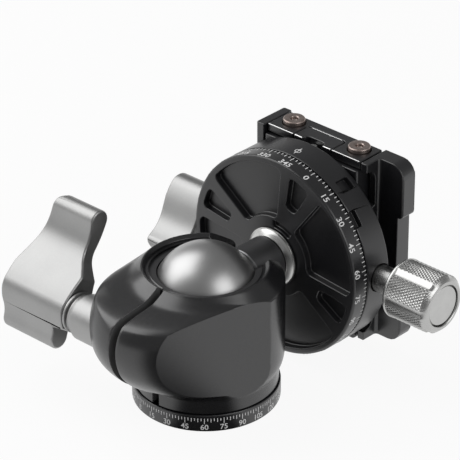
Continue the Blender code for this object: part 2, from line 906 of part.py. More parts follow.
def make_ball_lock():
    outline = wing(
        (WING_LONG, WING_SHORT),
        (WING_LONG_TURN, WING_SHORT_TURN),
        WING_LEANS,
        WING_LOBE_RADIUS,
        WING_HUB_RADIUS,
        WING_HUB_SPREAD,
    )
    middle = -(LOCK_HUB_START + WING_WIDTH_HUB / 2)
    made = piece(
        "ball_lock_lever",
        prism(outline, WING_WIDTH_HUB),
        SATIN,
        lock,
        LOCK_CENTRE + X_AXIS * middle,
        ALONG_X,
    )
    long_end = WING_LONG + WING_LOBE_RADIUS
    short_end = -WING_SHORT - WING_LOBE_RADIUS - OVERRUN
    inner = -LOCK_HUB_START + OVERRUN
    hub_side = -LOCK_HUB_START - WING_WIDTH_HUB
    tip_side = -LOCK_HUB_START - WING_WIDTH_TIP
    profile = rounded(
        (
            (short_end, -WING_START, 0),
            (short_end, hub_side - OVERRUN, 0),
            (WING_HUB_RADIUS, hub_side, 2 * WING_HUB_RADIUS),
            (long_end, tip_side, WING_LOBE_RADIUS),
            (long_end + GAP, -WING_START, 0),
            (WING_HUB_RADIUS + WING_HOLLOW_RUN, -WING_START, WING_HOLLOW_RADIUS),
            (WING_HUB_RADIUS, inner, 0),
            (-WING_HUB_RADIUS, inner, 0),
            (-WING_HUB_RADIUS, -WING_START, 0),
        ),
        6,
    )
    way = Vector((0, math.cos(WING_LONG_TURN), math.sin(WING_LONG_TURN)))
    shape(
        made,
        prism(profile, 4 * WING_HUB_RADIUS),
        LOCK_CENTRE,
        facing(way, X_AXIS),
        "INTERSECT",
    )
    drill(
        made,
        LOCK_BOLT_RADIUS + GAP,
        LOCK_CENTRE - X_AXIS * (LOCK_HUB_START + LOCK_BOLT_DEPTH + GAP),
        LOCK_CENTRE - X_AXIS * (LOCK_HUB_START - OVERRUN),
        ALONG_X,
    )
    seat = LOCK_SEAT + GAP
    bore = LOCK_BOLT_RADIUS + GAP
    end = LOCK_HUB_START - GAP
    piece(
        "ball_lock_collar",
        turned(
            (
                (LOCK_COLLAR_RADIUS, -seat),
                (LOCK_COLLAR_RADIUS, -LOCK_COLLAR_FLARE),
                (LOCK_COLLAR_WAIST_RADIUS, -LOCK_COLLAR_WAIST),
                (LOCK_COLLAR_WAIST_RADIUS, -end),
                (bore, -end),
                (bore, -seat),
            ),
            MEDIUM_STEPS,
        ),
        SATIN,
        lock,
        LOCK_CENTRE,
        ALONG_X,
    )
    start = -(LOCK_HUB_START + LOCK_BOLT_DEPTH)
    end = LOCK_NUT_PLACE + LOCK_NUT_RADIUS - GAP
    piece(
        "ball_lock_bolt",
        cylinder(LOCK_BOLT_RADIUS, end - start, MEDIUM_STEPS),
        BRIGHT,
        lock,
        LOCK_CENTRE + X_AXIS * (start + end) / 2,
        ALONG_X,
    )


# ---------------------------------------------------------------- ball
def make_ball():
    bore = SCREW_RADIUS + GAP
    bore_end = STEM_END - SCREW_DEPTH - GAP
    ball_end = math.sqrt(BALL_RADIUS**2 - GROOVE_RADIUS**2)
    profile = [
        (0, bore_end),
        (bore, bore_end),
        (bore, STEM_END),
        (STEM_RADIUS, STEM_END),
        (STEM_RADIUS, ball_end + GROOVE_WIDTH),
        (GROOVE_RADIUS, ball_end + GROOVE_WIDTH - GAP),
    ]
    first = math.asin(ball_end / BALL_RADIUS)
    profile += arc((0, 0), BALL_RADIUS, first, -math.pi / 2, 18)[:-1]
    profile.append((0, -BALL_RADIUS))
    piece(
        "ball_and_stem",
        turned(profile, MEDIUM_STEPS),
        BRUSHED,
        ball,
        BALL_CENTRE,
        ALONG_Y,
    )
    collar_start = STEM_END + GAP
    collar_end = DISC_FACE - GAP
    piece(
        "stem_collar",
        turned(
            (
                (bore, collar_end),
                (COLLAR_RADIUS, collar_end),
                (COLLAR_RADIUS, collar_start + COLLAR_CONE),
                (STEM_RADIUS, collar_start),
                (bore, collar_start),
            ),
            MEDIUM_STEPS,
        ),
        BRIGHT,
        ball,
        BALL_CENTRE,
        ALONG_Y,
    )
    seat = DISC_FLOOR + GAP
    screw_end = STEM_END - SCREW_DEPTH
    screw = piece(
        "stem_screw",
        socket_screw(
            SCREW_RADIUS, seat - screw_end, SCREW_HEAD_RADIUS, SCREW_HEAD_HEIGHT
        ),
        BRIGHT,
        ball,
        BALL_CENTRE + Y_AXIS * seat,
        ALONG_Y,
    )
    top = BALL_CENTRE + Y_AXIS * (seat + SCREW_HEAD_HEIGHT)
    socket(screw, SCREW_SOCKET_RADIUS, SCREW_SOCKET_DEPTH, top, ALONG_Y)


def pocket(target, outline, depth):
    """A recess in the disc's underside, which faces the ball."""
    place = BALL_CENTRE + Y_AXIS * (DISC_FACE + (depth - OVERRUN) / 2)
    shape(target, prism(outline, depth + OVERRUN), place, SEEN_FROM_FRONT)


def make_disc():
    bore = SCREW_RADIUS + GAP
    head_bore = SCREW_HEAD_RADIUS + GAP
    disc = piece(
        "pan_disc",
        turned(
            (
                (head_bore, DISC_HUB_END),
                (DISC_HUB_RADIUS, DISC_HUB_END),
                (DISC_HUB_RADIUS, DISC_BACK),
                (DISC_RADIUS - DISC_CHAMFER, DISC_BACK),
                (DISC_RADIUS, DISC_BACK - DISC_CHAMFER),
                (DISC_RADIUS, DISC_FACE + DISC_CHAMFER),
                (DISC_RADIUS - DISC_CHAMFER, DISC_FACE),
                (bore, DISC_FACE),
                (bore, DISC_FLOOR),
                (head_bore, DISC_FLOOR),
            ),
            LARGE_STEPS,
        ),
        BLACK,
        ball,
        BALL_CENTRE,
        ALONG_Y,
    )
    for index in range(POCKET_COUNT):
        step = 2 * math.pi * index / POCKET_COUNT
        outline = sector(
            (POCKET_OUTER_RADIUS, POCKET_HALF_ANGLE, POCKET_CORNER),
            (POCKET_INNER_RADIUS, POCKET_HALF_ANGLE, POCKET_CORNER),
            POCKET_TURN + step,
        )
        pocket(disc, outline, POCKET_DEPTH)
        outline = sector(
            (EYE_OUTER_RADIUS, EYE_HALF_ANGLE, EYE_CORNER),
            (EYE_INNER_RADIUS, EYE_INNER_HALF_ANGLE, EYE_INNER_CORNER),
            EYE_TURN + step,
        )
        pocket(disc, outline, POCKET_DEPTH)
    for turn in GROOVE_POCKET_TURNS:
        outline = sector(
            (GROOVE_POCKET_OUTER, GROOVE_POCKET_HALF_ANGLE, GROOVE_POCKET_CORNER),
            (GROOVE_POCKET_INNER, GROOVE_POCKET_HALF_ANGLE, GROOVE_POCKET_CORNER),
            turn,
        )
        pocket(disc, outline, GROOVE_POCKET_DEPTH)


# ---------------------------------------------------------------- pan body
LEG_START = BED_HALF_WIDTH + JAW_GAP
LEG_END = LEG_START + LEG_THICKNESS
CLAMP_LOW = CLAMP_LEVEL - CLAMP_HALF_LENGTH
CLAMP_HIGH = CLAMP_LEVEL + CLAMP_HALF_LENGTH
BED_END = CLAMP_HIGH - END_PLATE_THICKNESS - GAP
MOUNT_SCREW_PLACES = (
    BALL_LEVEL - MOUNT_SCREW_SPACING,
    BALL_LEVEL + MOUNT_SCREW_SPACING,
)
GUIDE_PLACES = (BALL_LEVEL - GUIDE_SPACING, BALL_LEVEL + GUIDE_SPACING)


def make_pan_body():
    hub_bore = DISC_HUB_RADIUS + GAP
    nut_bore = PAN_NUT_RADIUS + GAP
    made = piece(
        "pan_body",
        turned(
            (
                (nut_bore, BODY_TOP),
                (DISC_RADIUS - BODY_CHAMFER, BODY_TOP),
                (DISC_RADIUS, BODY_TOP - BODY_CHAMFER),
                (DISC_RADIUS, BODY_BOTTOM + BODY_CHAMFER),
                (DISC_RADIUS - BODY_CHAMFER, BODY_BOTTOM),
                (hub_bore, BODY_BOTTOM),
                (hub_bore, BODY_LEDGE),
                (nut_bore, BODY_LEDGE),
            ),
            LARGE_STEPS,
        ),
        BLACK,
        pan,
        BALL_CENTRE,
        ALONG_Y,
    )
    mill(
        made,
        (LEG_START - 2 * GAP, TAB_BOTTOM - GAP, BALL_LEVEL - POCKET_HALF_LENGTH),
        (
            LEG_END + POCKET_TRAVEL,
            BODY_TOP + OVERRUN,
            BALL_LEVEL + POCKET_HALF_LENGTH,
        ),
    )
    drill(
        made,
        KNOB_SLEEVE_RADIUS + GAP,
        (LEG_END, CROSS_LEVEL, BALL_LEVEL),
        (DISC_RADIUS + OVERRUN, CROSS_LEVEL, BALL_LEVEL),
        ALONG_X,
    )
    drill(
        made,
        KNOB_SCREW_RADIUS + GAP,
        (KNOB_SCREW_END - GAP, CROSS_LEVEL, BALL_LEVEL),
        (LEG_START, CROSS_LEVEL, BALL_LEVEL),
        ALONG_X,
    )
    for level in GUIDE_PLACES:
        drill(
            made,
            GUIDE_RADIUS + GAP,
            (GUIDE_START - GAP, CROSS_LEVEL, level),
            (GUIDE_START + GUIDE_LENGTH + GAP, CROSS_LEVEL, level),
            ALONG_X,
        )
    for level in MOUNT_SCREW_PLACES:
        drill(
            made,
            MOUNT_SCREW_RADIUS + GAP,
            (0, BODY_TOP - MOUNT_SCREW_DEPTH - GAP, level),
            (0, BODY_TOP + OVERRUN, level),
            ALONG_Y,
        )
    drill(
        made,
        PAN_LOCK_SCREW_RADIUS + GAP,
        (-DISC_RADIUS - OVERRUN, CROSS_LEVEL, BALL_LEVEL),
        (-PAN_LOCK_SEAT, CROSS_LEVEL, BALL_LEVEL),
        ALONG_X,
    )
    drill(
        made,
        BRAKE_RADIUS + GAP,
        (-PAN_LOCK_SEAT - GAP, CROSS_LEVEL, BALL_LEVEL),
        (-DISC_HUB_RADIUS + BRAKE_RADIUS, CROSS_LEVEL, BALL_LEVEL),
        ALONG_X,
    )
    outward = Vector((math.sin(WINDOW_TURN), 0, math.cos(WINDOW_TURN)))
    sideways = Vector((math.cos(WINDOW_TURN), 0, -math.sin(WINDOW_TURN)))
    size = Vector((WINDOW_WIDTH, WINDOW_HEIGHT + OVERRUN, WINDOW_DEPTH + OVERRUN))
    place = BALL_CENTRE + outward * (DISC_RADIUS + (OVERRUN - WINDOW_DEPTH) / 2)
    place += Y_AXIS * (BODY_BOTTOM + (WINDOW_HEIGHT - OVERRUN) / 2)
    shape(made, block(size), place, facing(sideways, Y_AXIS))

    nut_start = BODY_LEDGE + GAP
    piece(
        "pan_retainer",
        turned(
            (
                (hub_bore, BODY_TOP),
                (PAN_NUT_RADIUS, BODY_TOP),
                (PAN_NUT_RADIUS, nut_start),
                (hub_bore, nut_start),
            ),
            MEDIUM_STEPS,
        ),
        BRIGHT,
        ball,
        BALL_CENTRE,
        ALONG_Y,
    )
    for name, level in zip(("guide_pin_low", "guide_pin_high"), GUIDE_PLACES):
        piece(
            name,
            cylinder(GUIDE_RADIUS, GUIDE_LENGTH, SMALL_STEPS),
            BRIGHT,
            pan,
            Vector((GUIDE_START + GUIDE_LENGTH / 2, CROSS_LEVEL, level)),
            ALONG_X,
        )


# ---------------------------------------------------------------- pan lock
def make_pan_lock():
    shoe_start = -DISC_HUB_RADIUS - GAP
    shoe_end = -PAN_LOCK_SEAT
    piece(
        "brake_shoe",
        cylinder(BRAKE_RADIUS, shoe_start - shoe_end, SMALL_STEPS),
        BRIGHT,
        pan,
        CROSS_CENTRE + X_AXIS * (shoe_start + shoe_end) / 2,
        ALONG_X,
    )
    screw_start = -PAN_LOCK_SEAT - GAP
    screw_end = -PAN_LOCK_START - PAN_LOCK_DEPTH
    piece(
        "pan_lock_screw",
        cylinder(PAN_LOCK_SCREW_RADIUS, screw_start - screw_end, SMALL_STEPS),
        BRIGHT,
        pan_lock,
        CROSS_CENTRE + X_AXIS * (screw_start + screw_end) / 2,
        ALONG_X,
    )
    bore = PAN_LOCK_SCREW_RADIUS + GAP
    near = -DISC_RADIUS - GAP
    far = -PAN_LOCK_START + GAP
    piece(
        "pan_lock_collar",
        turned(
            (
                (PAN_LOCK_COLLAR_RADIUS, near),
                (PAN_LOCK_COLLAR_RADIUS, far),
                (bore, far),
                (bore, near),
            ),
            SMALL_STEPS,
        ),
        SATIN,
        pan_lock,
        CROSS_CENTRE,
        ALONG_X,
    )
    outline = wing(
        (PAN_LOCK_LONG,),
        (PAN_LOCK_TURN,),
        PAN_LOCK_LEANS,
        PAN_LOCK_LOBE_RADIUS,
        PAN_LOCK_HUB_RADIUS,
        PAN_LOCK_HUB_SPREAD,
    )
    middle = -(PAN_LOCK_START + PAN_LOCK_WIDTH / 2)
    made = piece(
        "pan_lock_lever",
        prism(outline, PAN_LOCK_WIDTH),
        SATIN,
        pan_lock,
        CROSS_CENTRE + X_AXIS * middle,
        ALONG_X,
    )
    long_end = PAN_LOCK_LONG + PAN_LOCK_LOBE_RADIUS
    short_end = -PAN_LOCK_HUB_RADIUS - OVERRUN
    inner = -PAN_LOCK_START + OVERRUN
    hub_side = -PAN_LOCK_START - PAN_LOCK_WIDTH
    tip_side = -PAN_LOCK_START - PAN_LOCK_WIDTH_TIP
    profile = rounded(
        (
            (short_end, inner, 0),
            (short_end, hub_side - OVERRUN, 0),
            (PAN_LOCK_HUB_RADIUS, hub_side, PAN_LOCK_HUB_RADIUS),
            (long_end, tip_side, PAN_LOCK_LOBE_RADIUS),
            (long_end + GAP, inner, 0),
        ),
        5,
    )
    way = Vector((0, math.cos(PAN_LOCK_TURN), math.sin(PAN_LOCK_TURN)))
    shape(
        made,
        prism(profile, 4 * PAN_LOCK_HUB_RADIUS),
        CROSS_CENTRE,
        facing(way, X_AXIS),
        "INTERSECT",
    )
    drill(
        made,
        bore,
        CROSS_CENTRE + X_AXIS * (screw_end - GAP),
        CROSS_CENTRE - X_AXIS * (PAN_LOCK_START - OVERRUN),
        ALONG_X,
    )


# ---------------------------------------------------------------- clamp
def upright(points, low, high):
    """An outline across the clamp, extended along the clamp's length."""
    return prism(points, high - low), Z_AXIS * (low + high) / 2


def make_bed():
    mesh, place = upright(
        rounded(
            (
                (-BED_HALF_WIDTH, BED_BOTTOM, BED_CHAMFER),
                (BED_HALF_WIDTH, BED_BOTTOM, BED_CHAMFER),
                (BED_HALF_WIDTH, BED_TOP, BED_CHAMFER),
                (-BED_HALF_WIDTH, BED_TOP, BED_CHAMFER),
            ),
            1,
        ),
        CLAMP_LOW,
        BED_END,
    )
    bed = piece("clamp_bed", mesh, BLACK, pan, place)
    head_bottom = BED_TOP - MOUNT_SCREW_SINK - MOUNT_SCREW_HEAD_HEIGHT
    for name, level in zip(("mount_screw_low", "mount_screw_high"), MOUNT_SCREW_PLACES):
        drill(
            bed,
            MOUNT_SCREW_RADIUS + GAP,
            (0, BED_BOTTOM - OVERRUN, level),
            (0, BED_TOP, level),
            ALONG_Y,
        )
        drill(
            bed,
            MOUNT_SCREW_HEAD_RADIUS + GAP,
            (0, head_bottom - GAP, level),
            (0, BED_TOP + OVERRUN, level),
            ALONG_Y,
        )
        screw = piece(
            name,
            socket_screw(
                MOUNT_SCREW_RADIUS,
                head_bottom - BODY_TOP + MOUNT_SCREW_DEPTH,
                MOUNT_SCREW_HEAD_RADIUS,
                MOUNT_SCREW_HEAD_HEIGHT,
            ),
            BRIGHT,
            pan,
            Vector((0, head_bottom, level)),
            ALONG_Y,
        )
        top = Vector((0, head_bottom + MOUNT_SCREW_HEAD_HEIGHT, level))
        socket(screw, END_SCREW_SOCKET_RADIUS, END_SCREW_SOCKET_DEPTH, top, ALONG_Y)
    drill(
        bed,
        STOP_PIN_RADIUS + GAP,
        (STOP_PIN_PLACE, STOP_PIN_LEVEL, BED_END - STOP_PIN_LENGTH - GAP),
        (STOP_PIN_PLACE, STOP_PIN_LEVEL, BED_END + OVERRUN),
        ALONG_Z,
    )
    piece(
        "stop_pin",
        cylinder(STOP_PIN_RADIUS, STOP_PIN_LENGTH + END_PLATE_THICKNESS / 2, SMALL_STEPS),
        BRIGHT,
        pan,
        Vector(
            (
                STOP_PIN_PLACE,
                STOP_PIN_LEVEL,
                BED_END + (END_PLATE_THICKNESS / 2 - STOP_PIN_LENGTH) / 2,
            )
        ),
    )
    return bed


def make_end_stop(bed):
    plate_low = BED_END + GAP
    side = GAP
    mesh, place = upright(
        rounded(
            (
                (-BED_HALF_WIDTH, END_PLATE_BOTTOM, 0),
                (TONGUE_LOW - side, END_PLATE_BOTTOM, 0),
                (TONGUE_LOW - side, TONGUE_TOP + side, TONGUE_CORNER),
                (TONGUE_HIGH + side, TONGUE_TOP + side, TONGUE_CORNER),
                (TONGUE_HIGH + side, END_PLATE_BOTTOM, 0),
                (BED_HALF_WIDTH, END_PLATE_BOTTOM, 0),
                (BED_HALF_WIDTH, END_PLATE_TOP, BED_CHAMFER),
                (-BED_HALF_WIDTH, END_PLATE_TOP, BED_CHAMFER),
            ),
            3,
        ),
        plate_low,
        CLAMP_HIGH,
    )
    plate = piece("end_stop_plate", mesh, BLACK, pan, place)
    arch = STOP_PIN_LEVEL + STOP_PIN_RADIUS + GAP
    mesh, place = upright(
        rounded(
            (
                (TONGUE_LOW, END_PLATE_BOTTOM, 0),
                (TONGUE_LOW + TONGUE_LEG, END_PLATE_BOTTOM, 0),
                (TONGUE_LOW + TONGUE_LEG, arch, TONGUE_ARCH),
                (TONGUE_HIGH - TONGUE_LEG, arch, TONGUE_ARCH),
                (TONGUE_HIGH - TONGUE_LEG, END_PLATE_BOTTOM, 0),
                (TONGUE_HIGH, END_PLATE_BOTTOM, 0),
                (TONGUE_HIGH, TONGUE_TOP, TONGUE_CORNER),
                (TONGUE_LOW, TONGUE_TOP, TONGUE_CORNER),
            ),
            3,
        ),
        plate_low,
        CLAMP_HIGH,
    )
    piece("end_stop_tongue", mesh, BLACK, pan, place)

    seat = CLAMP_HIGH - END_SCREW_SEAT
    for name, across in (
        ("end_screw_left", -END_SCREW_PLACE),
        ("end_screw_right", END_SCREW_PLACE),
    ):
        end = BED_END - END_SCREW_LENGTH
        drill(
            bed,
            END_SCREW_RADIUS + GAP,
            (across, END_SCREW_LEVEL, end - GAP),
            (across, END_SCREW_LEVEL, BED_END + OVERRUN),
            ALONG_Z,
        )
        drill(
            plate,
            END_SCREW_RADIUS + GAP,
            (across, END_SCREW_LEVEL, plate_low - OVERRUN),
            (across, END_SCREW_LEVEL, CLAMP_HIGH),
            ALONG_Z,
        )
        drill(
            plate,
            END_SCREW_HEAD_RADIUS + GAP,
            (across, END_SCREW_LEVEL, seat),
            (across, END_SCREW_LEVEL, CLAMP_HIGH + OVERRUN),
            ALONG_Z,
        )
        screw = piece(
            name,
            socket_screw(
                END_SCREW_RADIUS,
                seat + GAP - end,
                END_SCREW_HEAD_RADIUS,
                END_SCREW_HEAD_HEIGHT,
            ),
            BROWN,
            pan,
            Vector((across, END_SCREW_LEVEL, seat + GAP)),
        )
        top = Vector((across, END_SCREW_LEVEL, seat + GAP + END_SCREW_HEAD_HEIGHT))
        socket(screw, END_SCREW_SOCKET_RADIUS, END_SCREW_SOCKET_DEPTH, top, ALONG_Z)


def make_fixed_jaw(bed):
    inner = -BED_HALF_WIDTH - GAP
    outer = inner - FIXED_JAW_THICKNESS
    mesh, place = upright(
        rounded(
            (
                (outer, BED_BOTTOM, BED_CHAMFER),
                (inner, BED_BOTTOM, 0),
                (inner, JAW_TOP - JAW_LIP, 0),
                (inner + JAW_LIP, JAW_TOP, 0),
                (outer, JAW_TOP, BED_CHAMFER),
            ),
            1,
        ),
        CLAMP_LOW,
        CLAMP_HIGH,
    )
    made = piece("fixed_jaw", mesh, BLACK, pan, place)
    mill(
        made,
        (inner, JAW_TOP - JAW_LIP - OVERRUN, BED_END),
        (inner + JAW_LIP + OVERRUN, JAW_TOP + OVERRUN, CLAMP_HIGH + OVERRUN),
    )
    head_bottom = outer + JAW_SCREW_HEAD_HEIGHT + GAP
    for name, level in (
        ("jaw_screw_low", CLAMP_LEVEL - JAW_SCREW_SPACING),
        ("jaw_screw_high", CLAMP_LEVEL + JAW_SCREW_SPACING),
    ):
        end = inner + JAW_SCREW_LENGTH
        for target in (made, bed):
            start = outer if target == made else inner - GAP
            drill(
                target,
                JAW_SCREW_RADIUS + GAP,
                (start, JAW_SCREW_LEVEL, level),
                (end + GAP, JAW_SCREW_LEVEL, level),
                ALONG_X,
            )
        drill(
            made,
            JAW_SCREW_HEAD_RADIUS + GAP,
            (outer - OVERRUN, JAW_SCREW_LEVEL, level),
            (head_bottom + GAP, JAW_SCREW_LEVEL, level),
            ALONG_X,
        )
        screw = piece(
            name,
            socket_screw(
                JAW_SCREW_RADIUS,
                end - head_bottom,
                JAW_SCREW_HEAD_RADIUS,
                JAW_SCREW_HEAD_HEIGHT,
            ),
            BRIGHT,
            pan,
            Vector((head_bottom, JAW_SCREW_LEVEL, level)),
            facing(Y_AXIS, -Z_AXIS),
        )
        top = Vector((head_bottom - JAW_SCREW_HEAD_HEIGHT, JAW_SCREW_LEVEL, level))
        depth = JAW_SCREW_HEAD_HEIGHT / 2
        socket(screw, END_SCREW_SOCKET_RADIUS, depth, top, facing(Y_AXIS, -Z_AXIS))


def make_movable_jaw():
    outer = LEG_START + FLANGE_REACH
    mesh, place = upright(
        rounded(
            (
                (LEG_START, LEG_BOTTOM, 0),
                (LEG_END, LEG_BOTTOM, 0),
                (LEG_END, FLANGE_LEVEL, FLANGE_FILLET),
                (outer, FLANGE_LEVEL, BED_CHAMFER),
                (outer, JAW_TOP, BED_CHAMFER),
                (LEG_START - JAW_LIP, JAW_TOP, 0),
                (LEG_START, JAW_TOP - JAW_LIP, 0),
            ),
            3,
        ),
        CLAMP_LOW,
        CLAMP_HIGH,
    )
    made = piece("movable_jaw", mesh, BLACK, jaw, place)
    waist = outer - FLANGE_WAIST
    inner = LEG_START - JAW_LIP - OVERRUN
    outline = rounded(
        (
            (inner, CLAMP_LOW - OVERRUN, 0),
            (LEG_END, CLAMP_LOW - OVERRUN, 0),
            (LEG_END, CLAMP_LOW, 0),
            (outer, CLAMP_LOW, FLANGE_CORNER),
            (outer, CLAMP_LOW + FLANGE_LENGTH, WAIST_CORNER),
            (waist, CLAMP_LOW + FLANGE_LENGTH, 0),
            (waist, CLAMP_HIGH - FLANGE_LENGTH, 0),
            (outer, CLAMP_HIGH - FLANGE_LENGTH, WAIST_CORNER),
            (outer, CLAMP_HIGH, FLANGE_CORNER),
            (LEG_END, CLAMP_HIGH, 0),
            (LEG_END, CLAMP_HIGH + OVERRUN, 0),
            (inner, CLAMP_HIGH + OVERRUN, 0),
        ),
        5,
    )
    height = JAW_TOP - LEG_BOTTOM + 2 * OVERRUN
    middle = Y_AXIS * (JAW_TOP + LEG_BOTTOM) / 2
    shape(made, prism(outline, height), middle, SEEN_FROM_FRONT, "INTERSECT")
    mill(
        made,
        (LEG_START - JAW_LIP - OVERRUN, JAW_TOP - JAW_LIP - OVERRUN, BED_END),
        (LEG_START, JAW_TOP + OVERRUN, CLAMP_HIGH + OVERRUN),
    )
    half = TAB_HALF_LENGTH + OVERRUN
    low = Vector((LEG_START, TAB_BOTTOM, BALL_LEVEL - half))
    high = Vector((LEG_END, LEG_BOTTOM + OVERRUN, BALL_LEVEL + half))
    shape(made, block(high - low), (low + high) / 2, ALONG_Z, "UNION")
    below = TAB_BOTTOM - OVERRUN
    for way, limit in ((1, CLAMP_HIGH), (-1, CLAMP_LOW)):
        start = BALL_LEVEL + way * TAB_HALF_LENGTH
        toe = start + way * TOE_LENGTH
        end = limit - way * RECESS_MARGIN
        corners = [
            (below, start, 0),
            (TOE_LEVEL, start, 0),
            (TOE_LEVEL, toe, TOE_CORNER),
            (RECESS_LEVEL, toe, TOE_CORNER),
            (RECESS_LEVEL, end, RECESS_CORNER),
            (below, end, 0),
        ]
        outline = rounded(corners[::-way])
        width = LEG_THICKNESS + 2 * OVERRUN
        shape(made, prism(outline, width), X_AXIS * (LEG_START + LEG_END) / 2, ALONG_X)
    holes = [(KNOB_SCREW_RADIUS, BALL_LEVEL)]
    holes += [(GUIDE_RADIUS, level) for level in GUIDE_PLACES]
    for radius, level in holes:
        drill(
            made,
            radius + GAP,
            (LEG_START - OVERRUN, CROSS_LEVEL, level),
            (LEG_END + OVERRUN, CROSS_LEVEL, level),
            ALONG_X,
        )


# ---------------------------------------------------------------- knob
def make_knob():
    end = KNOB_START + KNOB_LENGTH
    bore = KNOB_SCREW_RADIUS + GAP
    bore_end = KNOB_START + KNOB_SCREW_DEPTH + GAP
    recess = KNOB_CAP_RADIUS + GAP
    cap_end = end - KNOB_CAP_SINK
    floor = cap_end - KNOB_CAP_THICKNESS - GAP
    made = piece(
        "clamp_knob",
        turned(
            (
                (0, floor),
                (recess, floor),
                (recess, end),
                (KNOB_RADIUS - KNOB_CHAMFER, end),
                (KNOB_RADIUS, end - KNOB_CHAMFER),
                (KNOB_RADIUS, KNOB_START + KNOB_BACK_CHAMFER),
                (KNOB_RADIUS - KNOB_BACK_CHAMFER, KNOB_START),
                (bore, KNOB_START),
                (bore, bore_end),
                (0, bore_end),
            ),
            LARGE_STEPS,
        ),
        SATIN,
        knob,
        CROSS_CENTRE,
        ALONG_X,
    )
    distance = KNOB_RADIUS + FLUTE_RADIUS - FLUTE_DEPTH
    for index in range(FLUTE_COUNT):
        angle = 2 * math.pi * index / FLUTE_COUNT
        side = Vector((0, math.cos(angle), math.sin(angle))) * distance
        drill(
            made,
            FLUTE_RADIUS,
            CROSS_CENTRE + side + X_AXIS * (KNOB_START + FLUTE_START),
            CROSS_CENTRE + side + X_AXIS * (end + OVERRUN),
            ALONG_X,
            MEDIUM_STEPS,
        )
    piece(
        "clamp_knob_cap",
        cylinder(KNOB_CAP_RADIUS, KNOB_CAP_THICKNESS, MEDIUM_STEPS),
        SATIN,
        knob,
        CROSS_CENTRE + X_AXIS * (cap_end - KNOB_CAP_THICKNESS / 2),
        ALONG_X,
    )
    near = LEG_END + GAP
    far = KNOB_START - GAP
    piece(
        "clamp_knob_sleeve",
        turned(
            (
                (KNOB_SLEEVE_RADIUS, far),
                (KNOB_SLEEVE_RADIUS, near),
                (bore, near),
                (bore, far),
            ),
            SMALL_STEPS,
        ),
        SATIN,
        knob,
        CROSS_CENTRE,
        ALONG_X,
    )
    far = KNOB_START + KNOB_SCREW_DEPTH
    piece(
        "clamp_screw",
        cylinder(KNOB_SCREW_RADIUS, far - KNOB_SCREW_END, SMALL_STEPS),
        BRIGHT,
        knob,
        CROSS_CENTRE + X_AXIS * (far + KNOB_SCREW_END) / 2,
        ALONG_X,
    )


make_base()
make_housing()
make_ball_lock()
make_ball()
make_disc()
make_pan_body()
make_pan_lock()
clamp_bed = make_bed()
make_end_stop(clamp_bed)
make_fixed_jaw(clamp_bed)
make_movable_jaw()
make_knob()
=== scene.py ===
import json
import math

import bmesh
import bpy
import numpy as np
from bpy.props import FloatProperty, IntProperty, PointerProperty
from bpy.types import Operator, Panel, PropertyGroup
from mathutils import Matrix, Vector


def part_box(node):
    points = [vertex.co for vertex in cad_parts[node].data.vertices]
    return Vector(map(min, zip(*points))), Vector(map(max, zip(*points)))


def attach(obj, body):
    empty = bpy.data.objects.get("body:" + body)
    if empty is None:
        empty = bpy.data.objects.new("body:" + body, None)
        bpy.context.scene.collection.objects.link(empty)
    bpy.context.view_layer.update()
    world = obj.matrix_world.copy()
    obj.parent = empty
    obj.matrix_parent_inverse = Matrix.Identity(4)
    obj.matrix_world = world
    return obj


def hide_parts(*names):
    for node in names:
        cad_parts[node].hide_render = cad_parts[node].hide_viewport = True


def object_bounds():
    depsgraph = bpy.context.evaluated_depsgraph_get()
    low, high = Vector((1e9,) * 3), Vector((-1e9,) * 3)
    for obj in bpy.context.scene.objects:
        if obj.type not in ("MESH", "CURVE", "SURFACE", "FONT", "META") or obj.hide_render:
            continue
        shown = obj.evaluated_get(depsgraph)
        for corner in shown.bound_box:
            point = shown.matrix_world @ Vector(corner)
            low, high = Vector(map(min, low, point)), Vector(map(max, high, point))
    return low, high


bl_info = {
    "name": "Ball head",
    "version": (1, 0, 0),
    "blender": (4, 5, 0),
    "location": "View3D > Sidebar > Ball head",
    "description": "Detailed pieces, materials and a studio for a camera ball head",
    "category": "Object",
}

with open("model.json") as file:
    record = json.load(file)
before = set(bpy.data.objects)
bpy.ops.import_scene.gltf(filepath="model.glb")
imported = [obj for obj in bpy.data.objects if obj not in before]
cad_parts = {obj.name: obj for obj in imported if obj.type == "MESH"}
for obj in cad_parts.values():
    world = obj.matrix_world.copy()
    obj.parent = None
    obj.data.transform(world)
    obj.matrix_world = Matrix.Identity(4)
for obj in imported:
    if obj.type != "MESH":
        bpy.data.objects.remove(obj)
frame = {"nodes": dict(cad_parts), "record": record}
CAD_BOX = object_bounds()

X_AXIS = Vector((1, 0, 0))
Y_AXIS = Vector((0, 1, 0))
Z_AXIS = Vector((0, 0, 1))
ORIGIN = Vector((0, 0, 0))
WELD = 0.000002
SHARP_ANGLE = math.radians(28)
CUT_WELD = 0.00001
OVER = 0.003  # how far a cutter reaches past what it cuts
GAP = 0.0003  # between pieces that lie side by side
FINE = 0.0001  # unit of the small steps in turned profiles
FLAT = 0.2  # degrees within which faces count as one plane
CAD_FLAT = 0.4
CAPITAL_SHARE = 0.72  # height of a digit as a share of the font's size
WHITE = (1, 1, 1, 1)
KEY_DIRECTION = (-0.665, -0.26, 0.70)
SIDE_DIRECTION = (0.844, 0.02, 0.535)


# ---------------------------------------------------------------- sizes
def length(name, default, description):
    """A length in metres."""
    return FloatProperty(
        name=name, description=description, default=default, min=0, unit="LENGTH", precision=5
    )


def level(name, default, description):
    """A place along an axis in metres, which may be negative."""
    return FloatProperty(
        name=name, description=description, default=default, unit="LENGTH", precision=5
    )


def turn(name, degrees, description):
    """An angle."""
    return FloatProperty(
        name=name, description=description, default=math.radians(degrees), subtype="ANGLE"
    )


def count(name, default, description):
    """A whole number of at least one."""
    return IntProperty(name=name, description=description, default=default, min=1)


